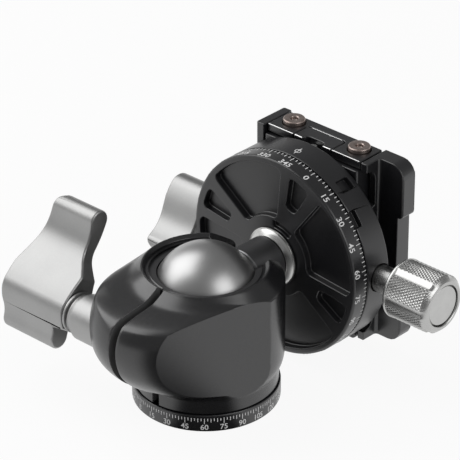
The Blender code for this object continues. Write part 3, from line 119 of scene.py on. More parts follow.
def share(name, default, description):
    """A plain number."""
    return FloatProperty(name=name, description=description, default=default, min=0)


class EdgeSizes(PropertyGroup):
    machined: length("Machined edge", 0.00022, "Width of the bevel on machined black pieces")
    housing: length("Housing edge", 0.00014, "Width of the bevel on the housing")
    clamp: length("Clamp edge", 0.00035, "Width of the bevel on the clamp's pieces")
    lever: length("Lever edge", 0.00070, "Width of the bevel on the cast levers")
    screw: length("Screw edge", 0.00025, "Width of the bevel on screws and pins")


class BaseSizes(PropertyGroup):
    edge: length("Base edge", 0.0005, "Width of the bevel on the base ring")
    thread_radius: length("Thread radius", 0.0042, "Inner radius of the bush's thread")
    thread_pitch: length("Thread pitch", 0.0012, "Distance between two turns")
    thread_depth: length("Thread depth", 0.0005, "Depth of the thread")


class HousingSizes(PropertyGroup):
    neck_radius: length("Neck radius", 0.0234, "Radius of the neck over the base")
    neck_height: length("Neck height", 0.0042, "Height of the neck")
    wall_radius: length("Wall radius", 0.0253, "Radius of the round wall")
    wall_top: length("Wall top", 0.0425, "Level where the wall turns into the cone")
    rim_radius: length("Rim radius", 0.0205, "Outer radius of the rim round the ball")
    ear_reach: length("Ear reach", 0.04245, "How far the clamping ear reaches from the axis")
    ear_level: length("Ear level", 0.0317, "Level where the ear reaches furthest")
    ear_end: share("Ear end", 0.95, "Radius of the ear's end as a share of the wall's")
    floor_level: length("Floor", 0.0127, "Level of the housing's floor")
    shelf_level: length("Shelf", 0.0213, "Level of the shelf that carries the cup")
    chamber_radius: length("Chamber radius", 0.0150, "Radius of the chamber under the shelf")
    cavity_radius: length("Cavity radius", 0.0184, "Radius of the ball's cavity")
    lip_radius: length("Lip radius", 0.0179, "Radius of the lip over the liner")
    lip_level: length("Lip level", 0.0453, "Level of the lip")
    lip_edge: length("Lip edge", 0.0003, "Chamfer of the lip")
    groove_radius: length("Groove radius", 0.0190, "Outer radius of the groove round the lip")
    groove_top: length("Groove top", 0.0464, "Level where that groove starts")
    groove_depth: length("Groove depth", 0.0007, "Depth of that groove")
    rim_width: length("Rim width", 0.0004, "Width of the flat rim")
    neck_bore: length("Neck bore", 0.0123, "Radius of the bore for the base's hub")
    facet_distance: length("Facet distance", 0.0236, "Distance of the flat facet from the axis")
    facet_turn: turn("Facet turn", -15, "Direction of the facet, from +X")
    slot_width: length("Slot width", 0.0028, "Width of the split")
    slot_start: length("Slot start", 0.0100, "Where the split starts, from the axis")
    notch_half_width: length("Notch half width", 0.0089, "Half width of the drop notch")
    notch_flare_level: length("Flare level", 0.0415, "Level where the notch opens out")
    notch_flare: length("Flare half width", 0.0127, "Half width of the notch at the rim")
    notch_start: length("Notch start", 0.0060, "Where the notch starts, from the axis")
    bore_reach: length("Bore reach", 0.0295, "Distance of the lock's axis from the ball's")
    bore_level: length("Bore level", 0.0315, "Level of the lock's axis")
    bore_radius: length("Bore radius", 0.0033, "Radius of the lock bolt's bore")
    seat_radius: length("Seat radius", 0.0081, "Radius of the lock collar's seat")
    seat_depth: length("Seat place", 0.0120, "Distance of the collar's seat from the split")
    nut_place: length("Nut place", 0.0080, "Distance of the barrel nut from the split")
    nut_radius: length("Nut radius", 0.0043, "Radius of the barrel nut's bore")
    nut_top: length("Nut top", 0.0398, "Level where the barrel nut's bore ends")


class BallSizes(PropertyGroup):
    ball_level: length("Ball level", 0.0370, "Level of the ball's centre")
    ball_radius: length("Ball radius", 0.01705, "Radius of the ball")
    stem_radius: length("Stem radius", 0.0081, "Radius of the stem")
    stem_end: length("Stem end", 0.0291, "Where the stem ends, from the ball's centre")
    groove_radius: length("Groove radius", 0.0077, "Radius of the groove next to the ball")
    groove_width: length("Groove width", 0.0013, "Width of that groove")
    collar_radius: length("Collar radius", 0.0101, "Radius of the bright collar")
    collar_cone: length("Collar cone", 0.0012, "Length of the collar's cone")
    disc_face: length("Disc face", 0.0319, "Where the disc's front face is")
    bore: length("Bore", 0.0033, "Radius of the screw's bore")
    bore_depth: length("Bore depth", 0.0077, "Depth of the screw's bore in the stem")
    stem_edge: length("Stem edge", 0.0004, "Chamfer of the stem")


class DiscSizes(PropertyGroup):
    radius: length("Radius", 0.0348, "Radius of the disc and of the body behind it")
    face: length("Face", 0.0319, "Where the front face is, from the ball's centre")
    thickness: length("Thickness", 0.0062, "Thickness of the disc")
    chamfer: length("Chamfer", 0.0005, "Chamfer of the disc's edges")
    edge: length("Pocket edge", 0.00045, "Width of the bevel on the disc and its pockets")
    hub_radius: length("Hub radius", 0.0120, "Radius of the hub behind the disc")
    hub_end: length("Hub end", 0.0490, "Where the hub ends")
    floor: length("Floor", 0.0407, "Where the screw head's recess ends")
    head_bore: length("Head bore", 0.0058, "Radius of the screw head's recess")
    bore: length("Bore", 0.0033, "Radius of the screw's bore")
    pocket_depth: length("Pocket depth", 0.0024, "Depth of the large pockets")
    pocket_outer: length("Pocket outer radius", 0.0326, "Outer radius of the large pockets")
    pocket_inner: length("Pocket inner radius", 0.0142, "Inner radius of the large pockets")
    pocket_turn: turn("Pocket turn", -24.3, "Direction of the first large pocket, from straight up")
    pocket_spread: turn("Pocket spread", 29.2, "Half angle of a large pocket")
    pocket_corner: length("Pocket corner", 0.0020, "Corner radius of a large pocket")
    eye_outer: length("Eye outer radius", 0.0318, "Outer radius of the small pockets")
    eye_inner: length("Eye inner radius", 0.0205, "Inner radius of the small pockets")
    eye_turn: turn("Eye turn", 19.8, "Direction of the first small pocket")
    eye_spread: turn("Eye spread", 7.6, "Half angle of a small pocket's outer side")
    eye_inner_spread: turn("Eye inner spread", 5.7, "Half angle of its inner side")
    eye_corner: length("Eye corner", 0.0016, "Corner radius of a small pocket")
    key_turn: turn("Key turn", 17, "Direction of the first spanner pocket")
    key_inner: length("Key inner radius", 0.0106, "Inner radius of the spanner pockets")
    key_outer: length("Key outer radius", 0.0131, "Outer radius of the spanner pockets")
    key_spread: turn("Key spread", 19, "Half angle of a spanner pocket")
    key_depth: length("Key depth", 0.0015, "Depth of the spanner pockets")
    key_corner: length("Key corner", 0.0008, "Corner radius of a spanner pocket")


class BodySizes(PropertyGroup):
    edge: length("Body edge", 0.0006, "Chamfer of the round body's edges")
    bevel: length("Body bevel", 0.00025, "Width of the bevel on the body's cuts")
    screw_end: length("Screw end", 0.0165, "Where the bore for the clamp's screw ends")
    nut_bore: length("Nut bore", 0.0153, "Radius of the recess for the ring nut")
    hub_bore: length("Hub bore", 0.0123, "Radius of the bore for the disc's hub")
    ledge: length("Ledge", 0.0469, "Where the ring nut's recess starts, from the ball's centre")
    mill_start: length("Mill start", 0.0198, "Where the milled pocket for the jaw's tab starts")
    mill_end: length("Mill end", 0.0263, "Where that pocket ends")
    mill_bottom: length("Mill bottom", 0.0399, "Where its floor is, from the ball's centre")
    mill_half: length("Mill half length", 0.0172, "Half its length along the clamp")
    sleeve_bore: length("Sleeve bore", 0.0048, "Radius of the bore for the knob's sleeve")
    pin_bore: length("Pin bore", 0.0015, "Radius of the guide pins' bores")
    lock_seat: length("Lock seat", 0.0190, "Where the lock screw's bore ends")
    shoe_bore: length("Shoe bore", 0.0019, "Radius of the brake shoe's bore")
    screw_bore: length("Screw bore", 0.0023, "Radius of the mounting screws' bores")
    window_turn: turn("Window turn", 53.2, "Direction of the scale's window, from straight up")
    window_width: length("Window width", 0.0057, "Width of the window")
    window_height: length("Window height", 0.0028, "Height of the window")
    window_depth: length("Window depth", 0.0020, "Depth of the window")
    recess_turn: turn("Recess turn", 34.5, "Direction of the recess behind the window")
    recess_width: length("Recess width", 0.0043, "Width of that recess")
    recess_start: length("Recess start", 0.0413, "Where that recess starts")
    recess_end: length("Recess end", 0.0465, "Where that recess ends")


class LockLeverSizes(PropertyGroup):
    hub_start: length("Hub start", 0.0285, "Where the hub starts, from the split")
    start: length("Start", 0.0335, "Where the two lobes start")
    width_hub: length("Hub width", 0.02745, "Width at the hub, from its start")
    width_tip: length("Tip width", 0.0220, "Width at the long lobe, from the hub's start")
    hub: length("Hub radius", 0.0070, "Radius of the hub")
    lobe: length("Lobe radius", 0.0037, "Radius of the round ends")
    long: length("Long reach", 0.0290, "Distance of the long lobe's end from the hub")
    short: length("Short reach", 0.0111, "Distance of the short lobe's end")
    long_turn: turn("Long turn", 55.9, "Direction of the long lobe, from +Y towards +Z")
    short_turn: turn("Short turn", 254, "Direction of the short lobe")
    back_lean: turn("Back lean", -8, "Lean of the long lobe's side towards the base")
    front_lean: turn("Front lean", 26, "Lean of the long lobe's other side")
    hub_spread: turn("Hub spread", 20, "Half angle of the hub's plain arc")
    hollow_run: length("Hollow run", 0.0100, "Run of the hollow behind the long lobe")
    hollow: length("Hollow radius", 0.0080, "Radius of that hollow")
    bore: length("Bore", 0.0033, "Radius of the bolt's bore")
    bore_depth: length("Bore depth", 0.0068, "Depth of the bolt's bore")
    flare_radius: length("Flare radius", 0.0078, "Radius of the collar at the housing")
    flare_end: length("Flare end", 0.0235, "Where the collar starts to narrow")
    waist_start: length("Waist start", 0.0256, "Where the collar's waist starts")
    waist: length("Waist radius", 0.0068, "Radius of the collar's waist")
    seat: length("Seat", 0.0123, "Where the collar starts")
    groove_start: length("Groove start", 0.0263, "Where the groove next to the hub starts")
    groove_end: length("Groove end", 0.0273, "Where that groove ends")
    groove: length("Groove radius", 0.0056, "Radius of that groove")


class PanLeverSizes(PropertyGroup):
    start: length("Start", 0.0382, "Where the lever starts, from the stem's axis")
    width_hub: length("Hub width", 0.0163, "Width at the hub")
    width_tip: length("Tip width", 0.0143, "Width at the lobe")
    hub: length("Hub radius", 0.0052, "Radius of the hub")
    lobe: length("Lobe radius", 0.0024, "Radius of the round end")
    long: length("Reach", 0.0202, "Distance of the lobe's end from the hub")
    long_turn: turn("Turn", 219.8, "Direction of the lobe, from +Y towards +Z")
    lean: turn("Lean", 20, "Lean of the lobe's sides")
    hub_spread: turn("Hub spread", 99, "Half angle of the hub's plain arc")
    bore: length("Bore", 0.0031, "Radius of the screw's bore")
    bore_depth: length("Bore depth", 0.0081, "Depth of the screw's bore")


class ClampSizes(PropertyGroup):
    # The polished edges and pads here are painted highlights: bright strips where light glints on
    # the clamp's edges.
    inset: length("Inset", 0.0004, "Distance of the polished edges from the corners")
    foot: length("Foot", 0.0035, "Width of the tongue's feet")
    leg: length("Leg", 0.0020, "Width of the jaw's polished pad")
    line: length("Edge line", 0.00020, "Radius of the polished edges")
    pad: length("Pad", 0.00030, "Radius of the polished pads")
    screw_edge: length("Screw edge", 0.0005, "Width of the bevel on the end screws")


class KnobSizes(PropertyGroup):
    start: length("Start", 0.0435, "Where the knob starts on its axis")
    length: length("Length", 0.0175, "Length of the knob")
    radius: length("Radius", 0.0100, "Radius over the knurling")
    front: length("Front chamfer", 0.0018, "Length of the chamfer at the front")
    back: length("Back chamfer", 0.0006, "Length of the chamfer at the back")
    edge: length("Knob edge", 0.00015, "Small steps at the knob's edges")
    cap_edge: length("Cap edge", 0.0003, "Chamfer of the cap")
    knurl_start: length("Knurl start", 0.0012, "Where the knurling starts, from the back")
    recess_radius: length("Recess radius", 0.0071, "Radius of the recess for the cap")
    recess_floor: length("Recess floor", 0.0586, "Where the recess ends on the axis")
    bore: length("Bore", 0.0032, "Radius of the screw's bore")
    bore_end: length("Bore end", 0.0503, "Where the bore ends on the axis")
    cross_level: length("Cross level", 0.0446, "Place of the knob's axis along the stem")
    flutes: count("Flutes", 6, "Number of smooth flutes")
    flute_radius: length("Flute radius", 0.0042, "Radius of a flute's hollow")
    flute_depth: length("Flute depth", 0.0006, "Depth of a flute")
    flute_start: length("Flute start", 0.0012, "Where a flute starts, from the back")
    diamonds: count("Diamonds", 60, "Number of diamonds round the knob")
    samples: count("Samples", 10, "Mesh steps across one diamond")
    diamond_length: length("Diamond length", 0.0017, "Length of one diamond along the axis")
    diamond_depth: length("Diamond depth", 0.00030, "Depth of the knurling")


class ScaleSizes(PropertyGroup):
    base_radius: length("Base radius", 0.0240, "Radius of the base ring's wall")
    base_top: length("Base tick top", 0.0050, "Level of the tops of the base's ticks")
    base_first: turn("Base zero", -18.3, "Direction of the base's zero, from -Y towards +X")
    base_numbers: length("Base numbers", 0.0018, "Level of the middle of the base's numbers")
    disc_first: turn("Disc zero", 20.7, "Direction of the disc's zero, from straight up")
    disc_back: length("Disc tick end", 0.0378, "Where the disc's ticks end, from the axis")
    disc_numbers: length("Disc numbers", 0.0337, "Place of the middle of the disc's numbers")
    line: length("Line", 0.00025, "Width of a tick")
    short: length("Short tick", 0.0010, "Length of a tick at each 2.5 degrees")
    medium: length("Medium tick", 0.0014, "Length of a tick at each 5 degrees")
    long: length("Long tick", 0.0020, "Length of a tick at each 15 degrees")
    letter: length("Letter", 0.0023, "Height of the numbers")
    mark_turn: turn("Mark turn", 2.0, "Direction of the index mark, from straight up")
    mark_place: length("Mark place", 0.0421, "Place of the index mark, from the ball's centre")
    mark_radius: length("Mark radius", 0.0011, "Radius of the index mark's ring")
    mark_line: length("Mark line", 0.00026, "Width of the index mark's lines")
    mark_reach: length("Mark reach", 0.0020, "Half length of the index mark's line")
    bold: length("Bold", 0.00004, "How much the numbers' strokes are widened")
    base_letter: length("Base letter", 0.0019, "Height of the base's numbers")
    paint: length("Paint", 0.000015, "Thickness of the paint")


class StageSizes(PropertyGroup):
    floor: length("Floor", 3.0, "Width of the floor")
    target: length("Target", 0.0400, "Level that the camera looks at")
    target_y: length("Target place", 0.0200, "Where the camera looks at along the stem")
    distance: length("Distance", 1.0, "Distance of the camera")
    around: turn("Around", 42.57, "Camera's direction, from -Y towards +X")
    above: turn("Above", 30.1, "Camera's height over the horizon")
    lens: share("Lens", 244.1, "Focal length on a 36 mm sensor")
    shift_x: level("Shift across", -0.0400, "Sideways shift of the picture")
    shift_y: share("Shift up", 0.0678, "Upward shift of the picture")
    key: share("Key light", 6.2, "Power of the large soft light")
    side: share("Side light", 2.4, "Power of the second light")
    key_width: length("Key light width", 0.92, "Width of the large soft light")
    side_width: length("Side light width", 0.60, "Width of the second light")
    light_distance: length("Light distance", 0.9, "Distance of the lights")


class BallHeadSizes(PropertyGroup):
    edges: PointerProperty(type=EdgeSizes)
    base: PointerProperty(type=BaseSizes)
    housing: PointerProperty(type=HousingSizes)
    ball: PointerProperty(type=BallSizes)
    disc: PointerProperty(type=DiscSizes)
    body: PointerProperty(type=BodySizes)
    lock_lever: PointerProperty(type=LockLeverSizes)
    pan_lever: PointerProperty(type=PanLeverSizes)
    clamp: PointerProperty(type=ClampSizes)
    knob: PointerProperty(type=KnobSizes)
    scales: PointerProperty(type=ScaleSizes)
    stage: PointerProperty(type=StageSizes)


def sizes():
    return bpy.context.scene.ball_head


# ---------------------------------------------------------------- shading
class Field:
    """A value in a material, which can be used in plain sums."""

    def __init__(self, shading, socket):
        self.shading = shading
        self.socket = socket

    def maths(self, operation, first, second):
        return self.shading.node("ShaderNodeMath", {0: first, 1: second}, operation=operation)

    def __add__(self, other):
        return self.maths("ADD", self, other)

    __radd__ = __add__

    def __sub__(self, other):
        return self.maths("SUBTRACT", self, other)

    def __rsub__(self, other):
        return self.maths("SUBTRACT", other, self)

    def __mul__(self, other):
        return self.maths("MULTIPLY", self, other)

    __rmul__ = __mul__


class Shading:
    """The nodes of a material or of the world."""

    def __init__(self, owner):
        owner.use_nodes = True
        self.owner = owner
        self.tree = owner.node_tree
        self.tree.nodes.clear()

    def node(self, kind, values=None, output=0, **settings):
        """One output of a new node, if it has any."""
        made = self.tree.nodes.new(kind)
        for key, value in settings.items():
            setattr(made, key, value)
        for key, value in (values or {}).items():
            if isinstance(value, Field):
                self.tree.links.new(value.socket, made.inputs[key])
            else:
                made.inputs[key].default_value = value
        return Field(self, made.outputs[output]) if made.outputs else None

    def place(self):
        """Where a point is on the object, in metres."""
        return self.node("ShaderNodeTexCoord", output="Object")

    def vector(self, operation, first, second=(0, 0, 0), output=0):
        values = {0: first, 1: second}
        return self.node("ShaderNodeVectorMath", values, output, operation=operation)

    def noise(self, place, size, detail=3.0, roughness=0.5):
        """Noise from 0 to 1 whose features have a size in metres."""
        values = {"Vector": place, "Scale": 1 / size, "Detail": detail, "Roughness": roughness}
        return self.node("ShaderNodeTexNoise", values, noise_dimensions="3D")

    def blend(self, factor, low, high):
        """A colour between two others."""
        values = {0: factor, 6: (*low, 1), 7: (*high, 1)}
        return self.node("ShaderNodeMix", values, 2, data_type="RGBA")

    def step(self, value, low, high):
        """0 below low and 1 above high, smooth between."""
        values = {"Value": value, "From Min": low, "From Max": high}
        return self.node("ShaderNodeMapRange", values, interpolation_type="SMOOTHSTEP")

    def lathe(self, centre, axis, pitch):
        """Fine marks that a lathe leaves, from 0 to 1, round an axis."""
        offset = self.vector("SUBTRACT", self.place(), centre)
        along = self.vector("DOT_PRODUCT", offset, axis, 1)
        across = self.vector("CROSS_PRODUCT", offset, axis)
        radius = self.vector("LENGTH", across, output=1)
        position = self.node("ShaderNodeCombineXYZ", {"X": radius, "Y": along, "Z": 0.0})
        return self.noise(position, pitch, 1.0)

    def surface(self, factor, colours, roughness, bump=None, **others):
        """A finish between two colours, with a (height, strength, depth) of bumps."""
        values = {"Base Color": self.blend(factor, *colours), "Roughness": roughness}
        values.update((key.replace("_", " "), value) for key, value in others.items())
        if bump:
            bumps = dict(zip(("Height", "Strength", "Distance"), bump))
            values["Normal"] = self.node("ShaderNodeBump", bumps)
        shader = self.node("ShaderNodeBsdfPrincipled", values)
        self.node("ShaderNodeOutputMaterial", {"Surface": shader})


BALL_MIDDLE = (0, 0, 0.037)
KNOB_MIDDLE = (0, 0.0446, 0.037)
FINE_BUMP = 0.00001
COARSE_BUMP = 0.00002


def black_anodised(shading):
    place = shading.place()
    grain = shading.noise(place, 0.00011, 3.0, 0.6)
    patches = shading.noise(place, 0.014, 2.0)
    shading.surface(
        patches,
        ((0.006, 0.006, 0.007), (0.010, 0.010, 0.012)),
        0.24 + grain * 0.10 + patches * 0.05,
        (grain, 0.12, FINE_BUMP),
        Specular_IOR_Level=0.9,
    )


def housing_black(shading):
    """Black outside, and a lighter grey inside the split."""
    place = shading.place()
    grain = shading.noise(place, 0.00011, 3.0, 0.6)
    split_speckle = shading.noise(place, 0.0003, 3.0, 0.6)
    patches = shading.noise(place, 0.014, 2.0)
    across = shading.vector("DOT_PRODUCT", place, (1, 0, 0), 1)
    along = shading.vector("DOT_PRODUCT", place, (0, -1, 0), 1)
    wide = shading.step(across * across, 2.0e-6, 2.4e-6)
    inside = shading.step(along, 0.019, 0.0195) * (1 - wide)
    shading.surface(
        inside * (0.55 + split_speckle * 0.4),
        ((0.008, 0.008, 0.009), (0.11, 0.11, 0.11)),
        0.20 + grain * 0.08 + patches * 0.05 + inside * 0.3,
        (grain, 0.12, FINE_BUMP),
        Specular_IOR_Level=0.9,
    )


def black_turned(shading):
    place = shading.place()
    grain = shading.noise(place, 0.00011, 3.0, 0.6)
    marks = shading.lathe(BALL_MIDDLE, (0, 1, 0), 0.00016)
    patches = shading.noise(place, 0.014, 2.0)
    shading.surface(
        patches,
        ((0.007, 0.007, 0.008), (0.012, 0.012, 0.014)),
        0.26 + marks * 0.10 + patches * 0.05,
        (grain * 0.5 + marks * 0.5, 0.10, FINE_BUMP),
        Specular_IOR_Level=0.75,
    )


def satin_lever(shading):
    place = shading.place()
    grain = shading.noise(place, 0.00016, 3.0, 0.65)
    speckle = shading.noise(place, 0.0006, 3.0, 0.6)
    patches = shading.noise(place, 0.010, 2.0)
    shading.surface(
        speckle * 0.4 + patches * 0.6,
        ((0.31, 0.31, 0.31), (0.42, 0.42, 0.415)),
        0.34 + grain * 0.12 + patches * 0.04,
        (grain * 0.6 + speckle * 0.4, 0.22, COARSE_BUMP),
        Metallic=1.0,
    )


def knob_metal(shading):
    marks = shading.lathe(KNOB_MIDDLE, (1, 0, 0), 0.00014)
    grain = shading.noise(shading.place(), 0.00015, 3.0, 0.6)
    shading.surface(
        grain,
        ((0.42, 0.42, 0.415), (0.56, 0.56, 0.55)),
        0.20 + marks * 0.12 + grain * 0.06,
        (marks * 0.7 + grain * 0.3, 0.15, FINE_BUMP),
        Metallic=1.0,
    )


def cap_metal(shading):
    marks = shading.lathe(KNOB_MIDDLE, (1, 0, 0), 0.00022)
    shading.surface(
        shading.noise(shading.place(), 0.004, 2.0),
        ((0.48, 0.48, 0.475), (0.56, 0.56, 0.55)),
        0.26 + marks * 0.12,
        (marks, 0.25, FINE_BUMP),
        Metallic=1.0,
    )


def ball_metal(shading):
    """Bright on the ball, and darker on the stem as painted shade."""
    place = shading.place()
    distance = shading.vector("DISTANCE", place, BALL_MIDDLE, 1)
    marks = shading.lathe(BALL_MIDDLE, (0, 1, 0), 0.00018)
    grain = shading.noise(place, 0.00013, 3.0, 0.65)
    speckle = shading.noise(place, 0.0007, 3.0, 0.6)
    # painted shade: the stem gets a darker grey than the ball it is one piece with
    shading.surface(
        shading.step(distance, 0.01712, 0.01735),
        ((0.44, 0.44, 0.44), (0.22, 0.22, 0.225)),
        0.30 + grain * 0.12 + speckle * 0.05,
        (grain * 0.6 + marks * 0.4, 0.20, COARSE_BUMP),
        Metallic=1.0,
    )


def bright_steel(shading):
    marks = shading.lathe(BALL_MIDDLE, (0, 1, 0), 0.00020)
    shading.surface(
        shading.noise(shading.place(), 0.0002, 2.0),
        ((0.52, 0.52, 0.51), (0.64, 0.64, 0.63)),
        0.22 + marks * 0.14,
        (marks, 0.25, FINE_BUMP),
        Metallic=1.0,
    )


def screw_steel(shading):
    place = shading.place()
    grain = shading.noise(place, 0.00025)
    shading.surface(
        shading.noise(place, 0.0022, 2.0),
        ((0.27, 0.20, 0.175), (0.48, 0.42, 0.39)),
        0.30 + grain * 0.16,
        (grain, 0.20, FINE_BUMP),
        Metallic=1.0,
    )


# Painted highlight: bright metal for the strips that stand for glints on the clamp's edges.
def painted_highlight_metal(shading):
    grain = shading.noise(shading.place(), 0.0004)
    colours = ((0.62, 0.62, 0.62), (0.86, 0.86, 0.85))
    shading.surface(grain, colours, 0.30 + grain * 0.15, Metallic=1.0)


def dark_liner(shading):
    grain = shading.noise(shading.place(), 0.0002)
    colours = ((0.026, 0.026, 0.027), (0.042, 0.042, 0.044))
    shading.surface(grain, colours, 0.32 + grain * 0.15, (grain, 0.2, FINE_BUMP))


def white_print(shading):
    grain = shading.noise(shading.place(), 0.0002)
    shading.surface(grain, ((0.78, 0.78, 0.78), (0.90, 0.90, 0.90)), 0.45 + grain * 0.1)


FINISHES = (
    black_anodised,
    housing_black,
    black_turned,
    satin_lever,
    knob_metal,
    cap_metal,
    ball_metal,
    bright_steel,
    screw_steel,
    painted_highlight_metal,
    dark_liner,
    white_print,
)
LOOKS = {}


def look(finish):
    """A finish by name, made once."""
    if finish not in LOOKS:
        shading = Shading(bpy.data.materials.new(finish))
        {made.__name__: made for made in FINISHES}[finish](shading)
        LOOKS[finish] = shading.owner
    return LOOKS[finish]


# ---------------------------------------------------------------- shapes
def facing(right, up):
    """The turn that lays a shape's own x and y along two directions."""
    return Matrix((right, up, right.cross(up))).transposed().to_4x4()


ALONG_X = facing(Y_AXIS, Z_AXIS)
ALONG_Y = facing(Z_AXIS, X_AXIS)
ALONG_Z = facing(X_AXIS, Y_AXIS)
SEEN_FROM_FRONT = facing(X_AXIS, Z_AXIS)


def put(form, place, turned_by=ALONG_Z):
    """Turn a shape and move it to its place."""
    bmesh.ops.transform(form, matrix=Matrix.Translation(place) @ turned_by, verts=form.verts)
    return form


def tidy(form):
    """Merge doubles and point the faces outwards."""
    bmesh.ops.remove_doubles(form, verts=form.verts, dist=WELD)
    bmesh.ops.recalc_face_normals(form, faces=form.faces)
    return form


def turned(profile, steps):
    """A turned shape about its own z; a profile off the axis makes a ring."""
    form = bmesh.new()
    row = [form.verts.new((radius, 0, height)) for radius, height in profile]
    edges = [form.edges.new(pair) for pair in zip(row, row[1:])]
    if profile[0][0] > 0 or profile[-1][0] > 0:
        edges.append(form.edges.new((row[-1], row[0])))
    full = {"angle": 2 * math.pi, "steps": steps, "use_merge": True}
    bmesh.ops.spin(form, geom=row + edges, cent=ORIGIN, axis=Z_AXIS, **full)
    return tidy(form)


def prism(points, thickness):
    """A flat outline with an even thickness about its own plane."""
    form = bmesh.new()
    corners = [form.verts.new((across, up, -thickness / 2)) for across, up in points]
    face = form.faces.new(corners)
    made = bmesh.ops.extrude_face_region(form, geom=[face])["geom"]
    raised = [item for item in made if isinstance(item, bmesh.types.BMVert)]
    bmesh.ops.translate(form, vec=(0, 0, thickness), verts=raised)
    return tidy(form)


def rod(radius, start, end, turned_by=ALONG_X, steps=48):
    """A round bar between two points that lie along the turn's own z."""
    start, end = Vector(start), Vector(end)
    form = bmesh.new()
    size = {"radius1": radius, "radius2": radius, "depth": (end - start).length}
    bmesh.ops.create_cone(form, cap_ends=True, segments=steps, **size)
    return put(form, (start + end) / 2, turned_by)


def bar(low, high):
    """A box between two corners."""
    low, high = Vector(low), Vector(high)
    form = bmesh.new()
    bmesh.ops.create_cube(form, size=1)
    bmesh.ops.scale(form, vec=high - low, verts=form.verts)
    return put(form, (low + high) / 2)


def spare(form):
    """An object for a shape that is used once and removed."""
    mesh = bpy.data.meshes.new("spare")
    form.to_mesh(mesh)
    form.free()
    made = bpy.data.objects.new("spare", mesh)
    bpy.context.scene.collection.objects.link(made)
    return made


def final_form(item):
    """The shape of an object with its modifiers."""
    bpy.context.view_layer.update()
    done = item.evaluated_get(bpy.context.evaluated_depsgraph_get())
    form = bmesh.new()
    form.from_mesh(done.to_mesh())
    done.to_mesh_clear()
    return form


def carve(form, tools, operation="DIFFERENCE"):
    """Cut a shape with others, or intersect them."""
    target = spare(form)
    cutters = [spare(tool) for tool in tools]
    for cutter in cutters:
        modifier = target.modifiers.new("Carve", "BOOLEAN")
        modifier.operation = operation
        modifier.solver = "EXACT"
        modifier.object = cutter
    result = final_form(target)
    for item in [target, *cutters]:
        mesh = item.data
        bpy.data.objects.remove(item)
        bpy.data.meshes.remove(mesh)
    bmesh.ops.remove_doubles(result, verts=result.verts, dist=CUT_WELD)
    return result


def joined(forms):
    """Several shapes as one."""
    result = bmesh.new()
    for form in forms:
        mesh = bpy.data.meshes.new("spare")
        form.to_mesh(mesh)
        form.free()
        result.from_mesh(mesh)
        bpy.data.meshes.remove(mesh)
    return result


def soften(form, width, segments=2, flat=0.0):
    """Join faces that lie in one plane, then bevel each sharp edge."""
    if flat:
        every = {"verts": form.verts, "edges": form.edges, "delimit": set()}
        whole = {"angle_limit": math.radians(flat), "use_dissolve_boundaries": False}
        bmesh.ops.dissolve_limit(form, **whole, **every)
    bmesh.ops.bevel(
        form,
        geom=[
            edge
            for edge in form.edges
            if edge.is_manifold and edge.calc_face_angle(0) > SHARP_ANGLE
        ],
        offset=width,
        offset_type="OFFSET",
        segments=segments,
        profile=0.5,
        affect="EDGES",
        clamp_overlap=False,
        material=-1,
    )
    return form


def arc(centre, radius, start, end, steps):
    """Points along an arc, with angles counted from the outline's own x."""
    return [
        (centre[0] + radius * math.cos(angle), centre[1] + radius * math.sin(angle))
        for angle in np.linspace(start, end, steps + 1)
    ]


def rounded(corners, steps):
    """An outline with round corners, from (across, up, radius) corners."""
    points = []
    for index, (across, up, radius) in enumerate(corners):
        here = Vector((across, up))
        if radius == 0:
            points.append((across, up))
            continue
        before = (Vector(corners[index - 1][:2]) - here).normalized()
        after = (Vector(corners[(index + 1) % len(corners)][:2]) - here).normalized()
        half = before.angle(after) / 2
        centre = here + (before + after).normalized() * (radius / math.sin(half))
        touch = radius / math.tan(half)
        first = here + before * touch - centre
        angle = first.angle_signed(here + after * touch - centre)
        for step in range(steps + 1):
            points.append(tuple(centre + Matrix.Rotation(-angle * step / steps, 2) @ first))
    return points


def finished(name, form, finish, body, replaced=()):
    """A piece of the model from a shape that is in its place."""
    mesh = bpy.data.meshes.new(name)
    for vert in form.verts:
        for axis in range(3):
            vert.co[axis] = min(max(vert.co[axis], CAD_BOX[0][axis]), CAD_BOX[1][axis])
    tidy(form)
    form.to_mesh(mesh)
    form.free()
    mesh.shade_smooth()
    mesh.set_sharp_from_angle(angle=SHARP_ANGLE)
    mesh.materials.append(look(finish))
    made = bpy.data.objects.new(name, mesh)
    bpy.context.scene.collection.objects.link(made)
    normals = made.modifiers.new("normals", "WEIGHTED_NORMAL")
    normals.keep_sharp = True
    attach(made, body)
    if replaced:
        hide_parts(*replaced)


BODY_OF = {
    node: body
    for body, nodes in frame["record"]["behaviour"]["bodies"].items()
    for node in nodes
}


def stand_in(node, form, finish):
    """A shape that is shown in the place of a CAD node."""
    finished(node + "_piece", form, finish, BODY_OF[node], (node,))


def dress(nodes, finish, width, segments=2):
    """Copies of CAD nodes with softened edges, shown in their place."""
    for node in nodes.split():
        form = bmesh.new()
        form.from_mesh(frame["nodes"][node].data)
        stand_in(node, soften(tidy(form), width, segments, CAD_FLAT), finish)


# ---------------------------------------------------------------- housing
# Heights from the skirt to the ear's widest level, each with its radius and
# its reach toward the ear, as shares of the full ones.
LOWER_SHARES = (
    (0.0, 0.925, 0.0),
    (0.127, 0.968, 0.06),
    (0.231, 0.992, 0.30),
    (0.377, 1.0, 0.57),
    (0.590, 1.0, 0.81),
    (0.774, 1.0, 0.93),
    (1.0, 1.0, 1.0),
)
# Heights from there to the rim and their reach, then the same for the cone.
UPPER_SHARES = ((0.269, 0.99), (0.481, 0.93), (0.620, 0.85), (0.692, 0.775))
CONE_SHARES = ((0.19, 0.56), (0.35, 0.26), (0.48, 0.08), (1.0, 0.0))


